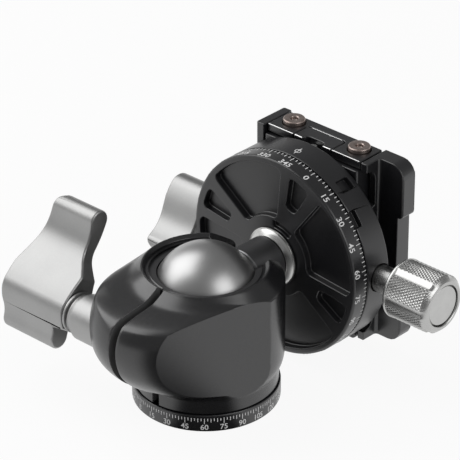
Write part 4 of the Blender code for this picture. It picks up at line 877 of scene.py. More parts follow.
def housing_sections(size, bottom, top):
    """Each section's height, round radius and reach toward the ear."""
    skirt = bottom + size.neck_height
    wall, level = size.wall_radius, size.ear_level
    reach = size.ear_reach - wall
    sections = [
        (skirt + (level - skirt) * height, wall * radius, reach * ear)
        for height, radius, ear in LOWER_SHARES
    ]
    sections[0] = (skirt, size.neck_radius, 0)
    for height, ear in UPPER_SHARES:
        sections.append((level + (top - level) * height, wall, reach * ear))
    for height, ear in CONE_SHARES:
        radius = wall + (size.rim_radius - wall) * height
        sections.append((size.wall_top + (top - size.wall_top) * height, radius, reach * ear))
    return sections


def smoothed(rows, steps):
    """Rows of numbers with smooth ones added between them."""
    rows = [np.array(row) for row in rows]
    result = []
    for index in range(len(rows) - 1):
        before = rows[max(index - 1, 0)]
        start, end = rows[index], rows[index + 1]
        after = rows[min(index + 2, len(rows) - 1)]
        for step in range(steps):
            t = step / steps
            square = (2 * before - 5 * start + 4 * end - after) * t**2
            cube = (3 * start - before - 3 * end + after) * t**3
            result.append(0.5 * (2 * start + (end - before) * t + square + cube))
    result.append(rows[-1])
    return result


def eased(rows, reach):
    """Each row averaged with its neighbours, fewer of them near the ends."""
    result = []
    for index in range(len(rows)):
        near = min(reach, index, len(rows) - 1 - index)
        result.append(sum(rows[index - near : index + near + 1]) / (2 * near + 1))
    return result


def housing_outline(radius, reach, share):
    """The round wall and the smaller round end of the ear, with tangents."""
    end_radius = radius * share
    offset = radius + max(reach, 0.0001) - end_radius
    lean = math.asin((radius - end_radius) / offset)
    points = arc((0, 0), radius, -lean, math.pi + lean, 110)
    return points + arc((0, -offset), end_radius, lean - math.pi, -lean, 60)


def make_housing():
    size = sizes().housing
    low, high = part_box("ball_housing")
    bottom, top = low[2], high[2]
    rows = [(bottom, size.neck_radius, 0)]
    rows += eased(smoothed(housing_sections(size, bottom, top), 8), 5)
    form = bmesh.new()
    loops = []
    for height, radius, reach in rows:
        outline = housing_outline(min(radius, size.wall_radius), reach, size.ear_end)
        corners = [form.verts.new((*point, height)) for point in outline]
        pairs = zip(corners, corners[1:] + corners[:1])
        loops.append([form.edges.new(pair) for pair in pairs])
    for lower, upper in zip(loops, loops[1:]):
        bmesh.ops.bridge_loops(form, edges=lower + upper)
    bmesh.ops.holes_fill(form, edges=loops[0] + loops[-1], sides=0)
    tidy(form)

    above, under = top + OVER, bottom - OVER
    groove_end = size.groove_top - size.groove_depth
    cavity = (
        (0, above),
        (size.rim_radius - size.rim_width, above),
        (size.rim_radius - size.rim_width, top),
        (size.groove_radius, size.groove_top),
        (size.groove_radius, groove_end),
        (size.lip_radius + size.lip_edge, groove_end),
        (size.lip_radius, groove_end + size.lip_edge),
        (size.lip_radius, size.lip_level),
        (size.cavity_radius, size.lip_level),
        (size.cavity_radius, size.shelf_level),
        (size.chamber_radius, size.shelf_level),
        (size.chamber_radius, size.floor_level),
        (size.neck_bore, size.floor_level),
        (size.neck_bore, under),
        (0, under),
    )
    width, half = 2 * size.ear_reach, size.slot_width / 2
    start = size.facet_distance
    facet = bar((start, -width, under), (start + width, width, above))
    put(facet, ORIGIN, Matrix.Rotation(size.facet_turn, 4, "Z"))
    slot = bar((-half, -size.ear_reach - OVER, under), (half, -size.slot_start, above))
    y, z = -size.bore_reach, size.bore_level
    wall, nut = size.wall_radius, size.nut_place
    tools = (
        turned(cavity, 144),
        facet,
        slot,
        notch(size, above),
        rod(size.nut_radius, (nut, y, under), (nut, y, size.nut_top), ALONG_Z),
        rod(size.bore_radius, (-wall, y, z), (nut + size.nut_radius, y, z)),
        rod(size.seat_radius, (-wall - OVER, y, z), (-size.seat_depth, y, z), steps=72),
    )
    form = soften(carve(form, tools), sizes().edges.housing, 2, FLAT)
    stand_in("ball_housing", form, "housing_black")


def notch(size, top):
    """The drop notch on the stem's side: a U that flares at its top."""
    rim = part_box("ball_housing")[1][2]
    half, level = size.notch_half_width, size.notch_flare_level
    slope = (size.notch_flare - half) / (rim - level)
    top_half = size.notch_flare + slope * (top - rim)
    outline = arc((0, sizes().ball.ball_level), half, math.pi, 2 * math.pi, 40)
    outline += [(half, level), (top_half, top), (-top_half, top), (-half, level)]
    depth = size.wall_radius + OVER - size.notch_start
    place = Vector((0, size.notch_start + depth / 2, 0))
    return put(prism(outline, depth), place, SEEN_FROM_FRONT)


def make_linings():
    size, edges = sizes().housing, sizes().edges
    low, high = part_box("ball_liner")
    middle, seat = sizes().ball.ball_level, sizes().ball.ball_radius + GAP
    top = size.lip_level - GAP
    heights = [low[2] + (top - low[2]) * index / 12 for index in range(13)]
    inner = [(math.sqrt(seat**2 - (height - middle) ** 2), height) for height in heights]
    inner[-1] = (inner[-1][0] + 2 * FINE, top)
    form = turned([(high[0], top), (high[0], low[2])] + inner, 180)
    stand_in("ball_liner", carve(form, [notch(size, top + 2 * OVER)]), "dark_liner")
    dress("ball_cup", "dark_liner", edges.machined)
    dress("lock_barrel_nut", "bright_steel", edges.screw)


# ---------------------------------------------------------------- base
def make_base():
    size = sizes().base
    low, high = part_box("base_ring")
    radius, hub, top = high[0], sizes().housing.neck_bore - GAP, high[2]
    thread_low, thread_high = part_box("tripod_bush")
    bore = thread_high[0] + GAP
    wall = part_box("ball_housing")[0][2] - GAP
    profile = ((hub, top), (hub, wall), (radius, wall), (radius, 0.0), (bore, 0.0), (bore, top))
    stand_in("base_ring", soften(turned(profile, 180), size.edge, 3), "black_anodised")
    height = thread_high[2] - thread_low[2]
    turns = int(height / size.thread_pitch)
    inner, outer = size.thread_radius, size.thread_radius + size.thread_depth
    profile = [(thread_high[0], thread_high[2]), (thread_high[0], thread_low[2])]
    for index in range(turns):
        start = thread_low[2] + index * height / turns
        profile += [(outer, start), (inner, start + height / turns / 2)]
    profile.append((outer, thread_high[2]))
    stand_in("tripod_bush", turned(profile, 96), "bright_steel")
    dress("base_retainer", "bright_steel", sizes().edges.machined)


# ---------------------------------------------------------------- ball and stem
def ball_centre():
    return Vector((0, 0, sizes().ball.ball_level))


def make_ball():
    size = sizes().ball
    ball, stem, groove, end = size.ball_radius, size.stem_radius, size.groove_radius, size.stem_end
    neck = math.sqrt(ball**2 - groove**2)
    shoulder = neck + size.groove_width
    edge = size.stem_edge
    profile = [
        (0, end - size.bore_depth),
        (size.bore, end - size.bore_depth),
        (size.bore, end),
        (stem - edge, end),
        (stem, end - edge),
        (stem, shoulder + edge),
        (stem - edge / 2, shoulder + edge / 4),
        (groove, shoulder),
    ]
    profile += arc((0, 0), ball, math.asin(neck / ball), -math.pi / 2, 72)[:-1]
    profile.append((0, -ball))
    form = put(turned(profile, 144), ball_centre(), ALONG_Y)
    stand_in("ball_and_stem", form, "ball_metal")

    start, end = end + GAP, size.disc_face - GAP
    rim, cone = size.collar_radius, start + size.collar_cone
    profile = (
        (size.bore, end),
        (rim - 2 * FINE, end),
        (rim, end - 2 * FINE),
        (rim, end - 3.5 * FINE),
        (rim - 3 * FINE, end - 4.5 * FINE),
        (rim - 3 * FINE, cone + FINE),
        (rim - 4 * FINE, cone),
        (rim - 12 * FINE, start + 4 * FINE),
        (stem, start + FINE),
        (stem - FINE, start),
        (size.bore, start),
    )
    form = put(turned(profile, 144), ball_centre(), ALONG_Y)
    stand_in("stem_collar", form, "bright_steel")
    dress("stem_screw", "bright_steel", sizes().edges.screw)


# ---------------------------------------------------------------- disc
def ring_side(radius, start, end, corner):
    """One side of a ring sector as corners: round at its ends, plain between."""
    inset = 1.6 * corner / radius
    span = abs(end - start) - 2 * inset
    way = 1 if end > start else -1
    angles = [start]
    if span > inset:
        steps = max(1, round(span / math.radians(2.5)))
        angles += [start + way * (inset + span * step / steps) for step in range(steps + 1)]
    angles.append(end)
    return [
        (radius * math.sin(angle), radius * math.cos(angle), corner if angle in (start, end) else 0)
        for angle in angles
    ]


def pocket(outer, inner, spread, inner_spread, corner, depth, middle):
    """A cutter for a ring sector's recess in the disc's front, at an angle from straight up."""
    corners = ring_side(outer, middle - spread, middle + spread, corner)
    corners += ring_side(inner, middle + inner_spread, middle - inner_spread, corner)
    place = ball_centre() + Y_AXIS * (sizes().disc.face + (depth - OVER) / 2)
    return put(prism(rounded(corners, 6), depth + OVER), place, SEEN_FROM_FRONT)


def make_disc():
    size = sizes().disc
    back, edge = size.face + size.thickness, size.chamfer
    profile = (
        (size.head_bore, size.hub_end),
        (size.hub_radius, size.hub_end),
        (size.hub_radius, back),
        (size.radius - edge / 2, back),
        (size.radius, back - edge / 2),
        (size.radius, size.face + edge),
        (size.radius - edge, size.face),
        (size.bore, size.face),
        (size.bore, size.floor),
        (size.head_bore, size.floor),
    )
    form = put(turned(profile, 216), ball_centre(), ALONG_Y)
    large = (size.pocket_outer, size.pocket_inner, size.pocket_spread, size.pocket_spread)
    small = (size.eye_outer, size.eye_inner, size.eye_spread, size.eye_inner_spread)
    key = (size.key_outer, size.key_inner, size.key_spread, size.key_spread)
    depth, tools = size.pocket_depth, []
    for step in range(4):
        middle = math.pi / 2 * step
        tools.append(pocket(*large, size.pocket_corner, depth, size.pocket_turn + middle))
        tools.append(pocket(*small, size.eye_corner, depth, size.eye_turn + middle))
    for middle in (0, math.pi):
        tools.append(pocket(*key, size.key_corner, size.key_depth, size.key_turn + middle))
    stand_in("pan_disc", soften(carve(form, tools), size.edge, 3, FLAT), "black_turned")
    dress("pan_retainer", "bright_steel", sizes().edges.machined)


# ---------------------------------------------------------------- pan body
def wall_cutter(size, angle, width, start, end):
    """A box that cuts into the body's round wall between two places along Y."""
    corner = Vector((width / 2, (end - start) / 2, size.window_depth))
    outward = Vector((math.sin(angle), 0, math.cos(angle)))
    sideways = Vector((math.cos(angle), 0, -math.sin(angle)))
    place = ball_centre() + outward * sizes().disc.radius + Y_AXIS * (start + end) / 2
    return put(bar(-corner, corner), place, facing(sideways, Y_AXIS))


def make_pan_body():
    size, wall, knob = sizes().body, sizes().disc.radius, sizes().knob
    low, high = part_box("pan_body")
    back = high[1]
    level = ball_centre().z
    edge = size.edge
    profile = (
        (size.nut_bore, back),
        (wall - edge, back),
        (wall, back - edge),
        (wall, low[1] + edge / 2),
        (wall - edge / 2, low[1]),
        (size.hub_bore, low[1]),
        (size.hub_bore, size.ledge),
        (size.nut_bore, size.ledge),
    )
    form = put(turned(profile, 216), ball_centre(), ALONG_Y)
    cross = Vector((0, knob.cross_level, level))
    past = X_AXIS * wall * 1.1
    tools = [
        bar(
            (size.mill_start, size.mill_bottom, level - size.mill_half),
            (size.mill_end, back + OVER, level + size.mill_half),
        ),
        rod(size.sleeve_bore, cross + X_AXIS * size.mill_end, cross + past),
    ]
    for node in ("guide_pin_low", "guide_pin_high"):
        start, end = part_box(node)
        y, z = (start[1] + end[1]) / 2, (start[2] + end[2]) / 2
        tools.append(rod(size.pin_bore, (start[0] - GAP, y, z), (end[0] + GAP, y, z)))
    screw, mill = X_AXIS * size.screw_end, X_AXIS * size.mill_end
    tools.append(rod(knob.bore, cross + screw, cross + mill))
    tools.append(rod(sizes().pan_lever.bore, cross - past, cross - X_AXIS * size.lock_seat))
    start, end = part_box("brake_shoe")[0][0] - GAP, -size.hub_bore + 10 * FINE
    tools.append(rod(size.shoe_bore, (start, cross.y, cross.z), (end, cross.y, cross.z)))
    for node in ("mount_screw_low", "mount_screw_high"):
        start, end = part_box(node)
        z = (start[2] + end[2]) / 2
        tools.append(rod(size.screw_bore, (0, start[1] - GAP, z), (0, back + OVER, z), ALONG_Y))
    start, end = low[1] - size.window_height, low[1] + size.window_height
    tools.append(wall_cutter(size, size.window_turn, size.window_width, start, end))
    start, end = size.recess_start, size.recess_end
    tools.append(wall_cutter(size, size.recess_turn, size.recess_width, start, end))
    stand_in("pan_body", soften(carve(form, tools), size.bevel, 2, FLAT), "black_turned")
    dress("guide_pin_low guide_pin_high", "bright_steel", sizes().edges.screw)


# ---------------------------------------------------------------- levers
BEND_SHARE = 0.46


def bend(start, start_turn, end, end_turn, steps):
    """Points on a smooth curve between two points, which are left out."""
    start, end = Vector(start), Vector(end)
    reach = (end - start).length * BEND_SHARE
    first = start + Vector((math.cos(start_turn), math.sin(start_turn))) * reach
    last = end - Vector((math.cos(end_turn), math.sin(end_turn))) * reach
    points = []
    for step in range(1, steps):
        after = step / steps
        before = 1 - after
        outer = start * before**3 + first * (3 * before**2 * after)
        points.append(tuple(outer + last * (3 * before * after**2) + end * after**3))
    return points


def wing(reaches, turns, leans, lobe, hub, hub_spread):
    """A lever's outline: one or two round lobes that bend smoothly to the hub."""
    quarter = math.pi / 2
    lobes = [
        (reach * math.cos(angle), reach * math.sin(angle))
        for reach, angle in zip(reaches, turns)
    ]
    outline = []
    for index, (angle, (low_lean, lean)) in enumerate(zip(turns, leans)):
        following = (index + 1) % len(turns)
        after = turns[following]
        if after <= angle:
            after += 2 * math.pi
        first = angle - quarter - low_lean
        outline += arc(lobes[index], lobe, first, angle + quarter + lean, 24)
        middle = (angle + after) / 2
        start, end = middle - hub_spread, middle + hub_spread
        around = arc((0, 0), hub, start, end, 18)
        outline += bend(outline[-1], angle + lean + math.pi, around[0], start + quarter, 24)
        outline += around
        next_lean = leans[following][0]
        first = after - quarter - next_lean
        landing = arc(lobes[following], lobe, first, first, 0)[0]
        outline += bend(around[-1], end + quarter, landing, after - next_lean, 24)
    return outline


def make_lever(node, size, outline, profile, centre, start):
    """A lever: its outline seen from the side, cut to a profile along it."""
    width, turned_to = size.width_hub, size.long_turn
    form = put(prism(outline, width), centre - X_AXIS * (start + width / 2), ALONG_X)
    way = Vector((0, math.cos(turned_to), math.sin(turned_to)))
    form = carve(form, [put(prism(profile, 0.05), centre, facing(way, X_AXIS))], "INTERSECT")
    inner, outer = X_AXIS * (start + size.bore_depth), X_AXIS * (start - OVER)
    form = carve(form, [rod(size.bore, centre - inner, centre - outer)])
    stand_in(node, soften(form, sizes().edges.lever, 4, FLAT), "satin_lever")


def make_ball_lock():
    size, housing, edges = sizes().lock_lever, sizes().housing, sizes().edges
    centre = Vector((0, -housing.bore_reach, housing.bore_level))
    start, hub = size.hub_start, size.hub
    turns = (size.long_turn, size.short_turn)
    leans = ((size.back_lean, size.front_lean), (0, 0))
    outline = wing((size.long, size.short), turns, leans, size.lobe, hub, size.hub_spread)
    tip = size.long + size.lobe
    foot = -size.short - size.lobe - OVER
    side, inner = -start - size.width_hub, -start + OVER
    corners = (
        (foot, -size.start, 0),
        (foot, side - OVER, 0),
        (hub, side, 2 * hub),
        (tip, -start - size.width_tip, size.lobe),
        (tip + GAP, -size.start, 0),
        (hub + size.hollow_run, -size.start, size.hollow),
        (hub, inner, 0),
        (-hub, inner, 0),
        (-hub, -size.start, 0),
    )
    make_lever("ball_lock_lever", size, outline, rounded(corners, 16), centre, start)
    waist, end = size.waist, start - GAP
    profile = (
        (size.flare_radius, -size.seat),
        (size.flare_radius, -size.flare_end),
        (waist, -size.waist_start),
        (waist, -size.groove_start),
        (size.groove, -size.groove_start - FINE),
        (size.groove, -size.groove_end + FINE),
        (waist + FINE, -size.groove_end),
        (waist + FINE, -end),
        (size.bore, -end),
        (size.bore, -size.seat),
    )
    form = put(soften(turned(profile, 120), 2 * FINE), centre, ALONG_X)
    stand_in("ball_lock_collar", form, "satin_lever")
    dress("ball_lock_bolt", "bright_steel", edges.screw)


def make_pan_lock():
    size, edges = sizes().pan_lever, sizes().edges
    centre = ball_centre() + Y_AXIS * sizes().knob.cross_level
    leans = ((size.lean, size.lean),)
    outline = wing((size.long,), (size.long_turn,), leans, size.lobe, size.hub, size.hub_spread)
    tip, foot = size.long + size.lobe, -size.hub - OVER
    inner, side = -size.start + OVER, -size.start - size.width_hub
    corners = (
        (foot, inner, 0),
        (foot, side - OVER, 0),
        (size.hub, side, size.hub),
        (tip, -size.start - size.width_tip, size.lobe),
        (tip + GAP, inner, 0),
    )
    make_lever("pan_lock_lever", size, outline, rounded(corners, 12), centre, size.start)
    dress("pan_lock_collar", "satin_lever", edges.machined)
    dress("pan_lock_screw brake_shoe", "bright_steel", edges.screw)


# ---------------------------------------------------------------- clamp
def painted_highlight_strips(name, body, spans, radius, place=0):
    """Painted highlights: bright strips on corner edges along X, on the front edge at the clamp's
    top.
    """
    low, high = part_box("end_stop_plate")
    y, z = low[1] + radius + place, high[2] - radius
    forms = [rod(radius, (start, y, z), (end, y, z), steps=16) for start, end in spans]
    finished(name, joined(forms), "painted_highlight_metal", body)


def make_clamp():
    edge, size = sizes().edges, sizes().clamp
    plate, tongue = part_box("end_stop_plate"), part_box("end_stop_tongue")
    left, right = tongue[0][0], tongue[1][0]
    inset, foot = size.inset, size.foot
    # painted highlights on the plate's and tongue's edges and on the jaw's leg
    lines = ((plate[0][0] + inset, left - inset), (right + inset, plate[1][0] - inset))
    painted_highlight_strips("plate_edges", "pan", lines, size.line)
    pads = ((left + inset, left + foot), (right - foot, right - inset))
    painted_highlight_strips("tongue_pads", "pan", pads, size.pad)
    line = (left + 4 * inset, right - 4 * inset)
    painted_highlight_strips("tongue_edge", "pan", (line,), size.line / 2, tongue[1][1] - plate[0][1])
    start = plate[1][0] + 2 * inset
    painted_highlight_strips("leg_pad", "jaw", ((start, start + size.leg),), size.pad)
    flat = "clamp_bed end_stop_plate end_stop_tongue fixed_jaw movable_jaw"
    dress(flat, "black_anodised", edge.clamp, 3)
    screws = "mount_screw_low mount_screw_high jaw_screw_low jaw_screw_high stop_pin"
    dress(screws, "bright_steel", edge.screw)
    dress("end_screw_left end_screw_right", "screw_steel", size.screw_edge, 3)


# ---------------------------------------------------------------- knob
def knurled_radius(size, angle, along):
    """The knob's radius, where diamonds stand between smooth flutes."""
    turns = angle * size.diamonds / (2 * math.pi)
    length = along / size.diamond_length
    peaks = [1 - abs(2 * ((turns + way * length) % 1) - 1) for way in (1, -1)]
    land = size.radius - size.diamond_depth * (1 - min(peaks))
    return min(land, fluted_radius(size, angle, size.radius))


def fluted_radius(size, angle, land):
    """A round radius with the smooth flutes cut into it."""
    pitch = 2 * math.pi / size.flutes
    off = (angle + pitch / 2) % pitch - pitch / 2
    distance = size.radius + size.flute_radius - size.flute_depth
    across = distance * math.sin(off)
    if abs(across) >= size.flute_radius:
        return land
    return min(land, distance * math.cos(off) - math.sqrt(size.flute_radius**2 - across**2))


def make_knob():
    size = sizes().knob
    radius, length, edge = size.radius, size.length, size.edge
    bore_end, floor = size.bore_end - size.start, size.recess_floor - size.start
    front = length - size.front
    steps = round((front - size.knurl_start) / size.diamond_length * size.samples)
    profile = [
        (0, bore_end),
        (size.bore, bore_end),
        (size.bore, 0),
        (radius - size.back, 0),
        (radius, size.back),
        (radius, size.knurl_start - edge),
    ]
    profile += [(radius, along) for along in np.linspace(size.knurl_start, front, steps + 1)]
    profile += [
        (radius - size.front * 0.5, length - size.front * 0.5),
        (radius - size.front + edge, length - edge),
        (radius - size.front - edge, length),
        (size.recess_radius + edge, length),
        (size.recess_radius, length - edge),
        (size.recess_radius, floor),
        (0, floor),
    ]
    form = turned(profile, size.diamonds * size.samples)
    for vert in form.verts:
        x, y, along = vert.co
        old = math.hypot(x, y)
        if old < radius - size.front - 2 * edge or along < size.flute_start:
            continue
        angle = math.atan2(y, x)
        if size.knurl_start - edge / 2 < along < front + edge / 2:
            new = knurled_radius(size, angle, along)
        else:
            new = fluted_radius(size, angle, old)
        vert.co = (x * new / old, y * new / old, along)
    split_low(form, size.knurl_start, front)
    place = ball_centre() + Y_AXIS * size.cross_level + X_AXIS * size.start
    stand_in("clamp_knob", put(form, place, ALONG_X), "knob_metal")

    low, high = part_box("clamp_knob_cap")
    wide, bevel = (high[1] - low[1]) / 2, size.cap_edge
    start, end = low[0] - size.start, high[0] - size.start
    profile = ((0, start), (wide, start), (wide, end - bevel), (wide - bevel, end), (0, end))
    stand_in("clamp_knob_cap", put(turned(profile, 120), place, ALONG_X), "cap_metal")
    dress("clamp_knob_sleeve", "knob_metal", sizes().edges.machined)
    dress("clamp_screw", "bright_steel", sizes().edges.screw)


def split_low(form, start, end):
    """Split the knurling's squares along the diagonal that lies lower."""
    faces = [
        face
        for face in form.faces
        if len(face.verts) == 4 and start <= face.calc_center_median().z <= end
    ]
    for face in faces:
        corners = list(face.verts)
        heights = [corner.co.xy.length for corner in corners]
        first = 0 if heights[0] + heights[2] < heights[1] + heights[3] else 1
        bmesh.utils.face_split(face, corners[first], corners[first + 2])


# ---------------------------------------------------------------- scales
def round_base(size, point, angle):
    """A flat point wrapped on the base's wall, at an angle from its zero."""
    across, up, out = point
    around = size.base_first + angle + across / size.base_radius
    radius = size.base_radius + out
    return Vector((radius * math.sin(around), -radius * math.cos(around), up))


def round_disc(size, point, angle):
    """A flat point wrapped on the disc's edge, at an angle from its zero."""
    across, up, out = point
    radius = sizes().disc.radius
    around = size.disc_first + angle + across / radius
    radius += out
    return ball_centre() + Vector((radius * math.sin(around), up, radius * math.cos(around)))


def number_form(text, size, letter, place, wrap, angle):
    """A number as a mesh on a wall."""
    curve = bpy.data.curves.new("number", "FONT")
    curve.body = text
    curve.size = letter / CAPITAL_SHARE
    curve.extrude = size.paint
    curve.offset = size.bold
    curve.align_x = "CENTER"
    curve.resolution_u = 3
    made = bpy.data.objects.new("number", curve)
    bpy.context.scene.collection.objects.link(made)
    form = final_form(made)
    bpy.data.objects.remove(made)
    bpy.data.curves.remove(curve)
    for vert in form.verts:
        across, up, out = vert.co
        vert.co = wrap(size, (across, place + up - letter / 2, out), angle)
    return form


def tick_form(size, width, low, high, wrap, angle):
    """One painted line on a wall."""
    form = bar((-width / 2, low, -size.paint), (width / 2, high, size.paint))
    for vert in form.verts:
        vert.co = wrap(size, tuple(vert.co), angle)
    return form


def make_scale(name, body, wrap, letter, numbers, top):
    """A full circle's ticks, which hang from a level, and its numbers."""
    size = sizes().scales
    forms = []
    for index in range(144):
        long = size.long if index % 6 == 0 else size.medium if index % 2 == 0 else size.short
        angle = math.radians(2.5 * index)
        forms.append(tick_form(size, size.line, top - long, top, wrap, angle))
    for value in range(0, 360, 15):
        forms.append(number_form(str(value), size, letter, numbers, wrap, math.radians(value)))
    finished(name, joined(forms), "white_print", body)


def make_scales():
    size = sizes().scales
    base = (size.base_letter, size.base_numbers, size.base_top)
    make_scale("base_scale", "base", round_base, *base)
    make_scale("disc_scale", "ball", round_disc, size.letter, size.disc_numbers, size.disc_back)
    outer, inner, thick = size.mark_radius, size.mark_radius - size.mark_line, size.paint
    mark = turned(((outer, thick), (inner, thick), (inner, -thick), (outer, -thick)), 48)
    middle, reach, angle = size.mark_place, size.mark_reach, size.mark_turn - size.disc_first
    for vert in mark.verts:
        vert.co.y += middle
        vert.co = round_disc(size, tuple(vert.co), angle)
    line = tick_form(size, size.mark_line, middle - reach, middle + reach, round_disc, angle)
    finished("index_mark", joined([mark, line]), "white_print", "pan")


# ---------------------------------------------------------------- stage
def make_stage():
    size = sizes().stage
    scene = bpy.context.scene
    form = bmesh.new()
    bmesh.ops.create_grid(form, x_segments=1, y_segments=1, size=size.floor / 2)
    bmesh.ops.translate(form, vec=(0, 0, -2 * FINE), verts=form.verts)
    mesh = bpy.data.meshes.new("floor")
    form.to_mesh(mesh)
    form.free()
    mesh.materials.append(pale_floor())
    floor = bpy.data.objects.new("floor", mesh)
    scene.collection.objects.link(floor)

    light("key_light", size.key, size.key_width, KEY_DIRECTION)
    light("side_light", size.side, size.side_width, SIDE_DIRECTION)
    studio_world()

    around, above = size.around, size.above
    flat = math.cos(above)
    back = Vector((math.sin(around) * flat, -math.cos(around) * flat, math.sin(above)))
    data = bpy.data.cameras.new("camera")
    data.sensor_width = 36
    data.lens = size.lens
    data.shift_x = size.shift_x
    data.shift_y = size.shift_y
    data.clip_end = 10
    camera = bpy.data.objects.new("camera", data)
    camera.location = Vector((0, size.target_y, size.target)) + back * size.distance
    camera.rotation_euler = (math.pi / 2 - above, 0, around)
    scene.collection.objects.link(camera)
    scene.camera = camera
    scene.view_settings.view_transform = "Standard"


def light(name, power, width, direction):
    """A soft square light that points at the object."""
    size = sizes().stage
    data = bpy.data.lights.new(name, "AREA")
    data.energy = power
    data.size = width
    made = bpy.data.objects.new(name, data)
    direction = Vector(direction).normalized()
    made.location = Vector((0, size.target_y, size.target)) + direction * size.light_distance
    made.rotation_euler = direction.to_track_quat("Z", "Y").to_euler()
    bpy.context.scene.collection.objects.link(made)


def seen(shading, share):
    """1 for what the camera sees, and a share of it in metal and through glass."""
    camera, glossy, through = [
        shading.node("ShaderNodeLightPath", output=name)
        for name in ("Is Camera Ray", "Is Glossy Ray", "Is Transmission Ray")
    ]
    return camera + (glossy + through) * share


def behind(shading, place, low, high):
    """0 on the camera's side of the object and 1 on the far side."""
    around = sizes().stage.around
    away = (-math.sin(around), math.cos(around), 0)
    return shading.step(shading.vector("DOT_PRODUCT", place, away, 1), low, high)


def pale_floor():
    """White to the camera, pale to the light, and dark in what mirrors its near side."""
    shading = Shading(bpy.data.materials.new("pale_floor"))
    place = shading.place()
    pale = shading.blend(shading.noise(place, 0.002), (0.83, 0.83, 0.83), (0.86, 0.86, 0.86))
    lit = shading.node("ShaderNodeBsdfDiffuse", {"Color": pale})
    dark = shading.node("ShaderNodeBsdfDiffuse", {"Color": (0.14, 0.14, 0.14, 1)})
    white = shading.node("ShaderNodeEmission", {"Color": WHITE, "Strength": 1.0})
    far = behind(shading, shading.vector("NORMALIZE", place), -0.93, -0.75)
    glossy = shading.node("ShaderNodeLightPath", output="Is Glossy Ray")
    near = shading.node("ShaderNodeMixShader", {0: glossy * (1 - far), 1: lit, 2: dark})
    share = seen(shading, far) * 0.92
    mixed = shading.node("ShaderNodeMixShader", {0: share, 1: near, 2: white})
    shading.node("ShaderNodeOutputMaterial", {"Surface": mixed})
    return shading.owner


def studio_world():
    world = bpy.data.worlds.new("studio")
    bpy.context.scene.world = world
    shading = Shading(world)
    direction = shading.node("ShaderNodeTexCoord", output="Generated")
    height = shading.vector("DOT_PRODUCT", direction, (0, 0, 1), 1)
    share = behind(shading, direction, -0.50, 0.0) * (1 - shading.step(height, 0.0, 0.35))
    white = shading.node("ShaderNodeBackground", {"Color": WHITE, "Strength": 1.0})
    dim = shading.node("ShaderNodeBackground", {"Color": WHITE, "Strength": 0.25})
    mixed = shading.node("ShaderNodeMixShader", {0: seen(shading, share), 1: dim, 2: white})
    shading.node("ShaderNodeOutputWorld", {"Surface": mixed})


# ---------------------------------------------------------------- operators
class BALLHEAD_OT_base(Operator):
    """Add the base ring with its steel bush and retainer"""

    bl_idname = "ball_head.base"
    bl_label = "Base"

    def execute(self, context):
        make_base()
        return {"FINISHED"}


class BALLHEAD_OT_housing(Operator):
    """Add the split round housing"""

    bl_idname = "ball_head.housing"
    bl_label = "Housing"

    def execute(self, context):
        make_housing()
        return {"FINISHED"}


class BALLHEAD_OT_linings(Operator):
    """Add the ball's cup and liner and the lock's nut"""

    bl_idname = "ball_head.linings"
    bl_label = "Linings"

    def execute(self, context):
        make_linings()
        return {"FINISHED"}


class BALLHEAD_OT_ball(Operator):
    """Add the ball with its stem and collar"""

    bl_idname = "ball_head.ball"
    bl_label = "Ball and stem"

    def execute(self, context):
        make_ball()
        return {"FINISHED"}


class BALLHEAD_OT_disc(Operator):
    """Add the disc with its pockets"""

    bl_idname = "ball_head.disc"
    bl_label = "Disc"

    def execute(self, context):
        make_disc()
        return {"FINISHED"}


class BALLHEAD_OT_pan_body(Operator):
    """Add the round body that turns behind the disc"""

    bl_idname = "ball_head.pan_body"
    bl_label = "Turning body"

    def execute(self, context):
        make_pan_body()
        return {"FINISHED"}


class BALLHEAD_OT_ball_lock(Operator):
    """Add the large lever that locks the ball"""

    bl_idname = "ball_head.ball_lock"
    bl_label = "Ball lock"

    def execute(self, context):
        make_ball_lock()
        return {"FINISHED"}


class BALLHEAD_OT_pan_lock(Operator):
    """Add the small lever that locks the turning body"""

    bl_idname = "ball_head.pan_lock"
    bl_label = "Pan lock"

    def execute(self, context):
        make_pan_lock()
        return {"FINISHED"}


class BALLHEAD_OT_clamp(Operator):
    """Add the dovetail clamp with its end stop and screws"""

    bl_idname = "ball_head.clamp"
    bl_label = "Clamp"

    def execute(self, context):
        make_clamp()
        return {"FINISHED"}


class BALLHEAD_OT_knob(Operator):
    """Add the knurled knob with its cap and screw"""

    bl_idname = "ball_head.knob"
    bl_label = "Knob"

    def execute(self, context):
        make_knob()
        return {"FINISHED"}


class BALLHEAD_OT_scales(Operator):
    """Add the painted degree scales and the index mark"""

    bl_idname = "ball_head.scales"
    bl_label = "Scales"

    def execute(self, context):
        make_scales()
        return {"FINISHED"}


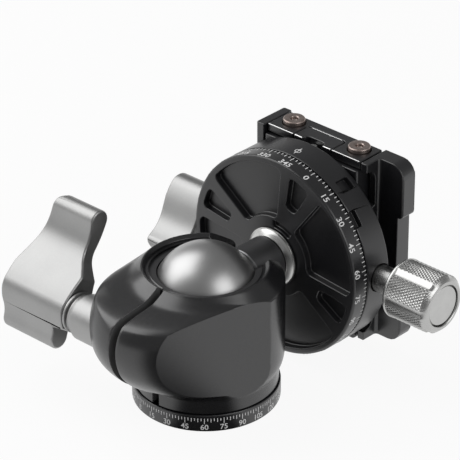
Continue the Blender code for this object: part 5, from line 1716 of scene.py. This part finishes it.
class BALLHEAD_OT_stage(Operator):
    """Add the floor, the lights and the camera"""

    bl_idname = "ball_head.stage"
    bl_label = "Studio"

    def execute(self, context):
        make_stage()
        return {"FINISHED"}


OPERATORS = (
    BALLHEAD_OT_base,
    BALLHEAD_OT_housing,
    BALLHEAD_OT_linings,
    BALLHEAD_OT_ball,
    BALLHEAD_OT_disc,
    BALLHEAD_OT_pan_body,
    BALLHEAD_OT_ball_lock,
    BALLHEAD_OT_pan_lock,
    BALLHEAD_OT_clamp,
    BALLHEAD_OT_knob,
    BALLHEAD_OT_scales,
    BALLHEAD_OT_stage,
)


class BALLHEAD_PT_panel(Panel):
    """The sizes of the ball head and the buttons that build it"""

    bl_idname = "BALLHEAD_PT_panel"
    bl_label = "Ball head"
    bl_space_type = "VIEW_3D"
    bl_region_type = "UI"
    bl_category = "Ball head"

    def draw(self, context):
        for group in BallHeadSizes.__annotations__:
            box = self.layout.box()
            box.label(text=group.replace("_", " ").capitalize())
            values = getattr(context.scene.ball_head, group)
            for name in type(values).__annotations__:
                box.prop(values, name)
        for operator in OPERATORS:
            self.layout.operator(operator.bl_idname)


CLASSES = (
    EdgeSizes,
    BaseSizes,
    HousingSizes,
    BallSizes,
    DiscSizes,
    BodySizes,
    LockLeverSizes,
    PanLeverSizes,
    ClampSizes,
    KnobSizes,
    ScaleSizes,
    StageSizes,
    BallHeadSizes,
    *OPERATORS,
    BALLHEAD_PT_panel,
)


def register():
    for item in CLASSES:
        bpy.utils.register_class(item)
    bpy.types.Scene.ball_head = PointerProperty(type=BallHeadSizes)


def unregister():
    del bpy.types.Scene.ball_head
    for item in reversed(CLASSES):
        bpy.utils.unregister_class(item)


def main():
    register()
    bpy.ops.ball_head.base()
    bpy.ops.ball_head.housing()
    bpy.ops.ball_head.linings()
    bpy.ops.ball_head.ball()
    bpy.ops.ball_head.disc()
    bpy.ops.ball_head.pan_body()
    bpy.ops.ball_head.ball_lock()
    bpy.ops.ball_head.pan_lock()
    bpy.ops.ball_head.clamp()
    bpy.ops.ball_head.knob()
    bpy.ops.ball_head.scales()
    bpy.ops.ball_head.stage()


if __name__ == "__main__":
    main()
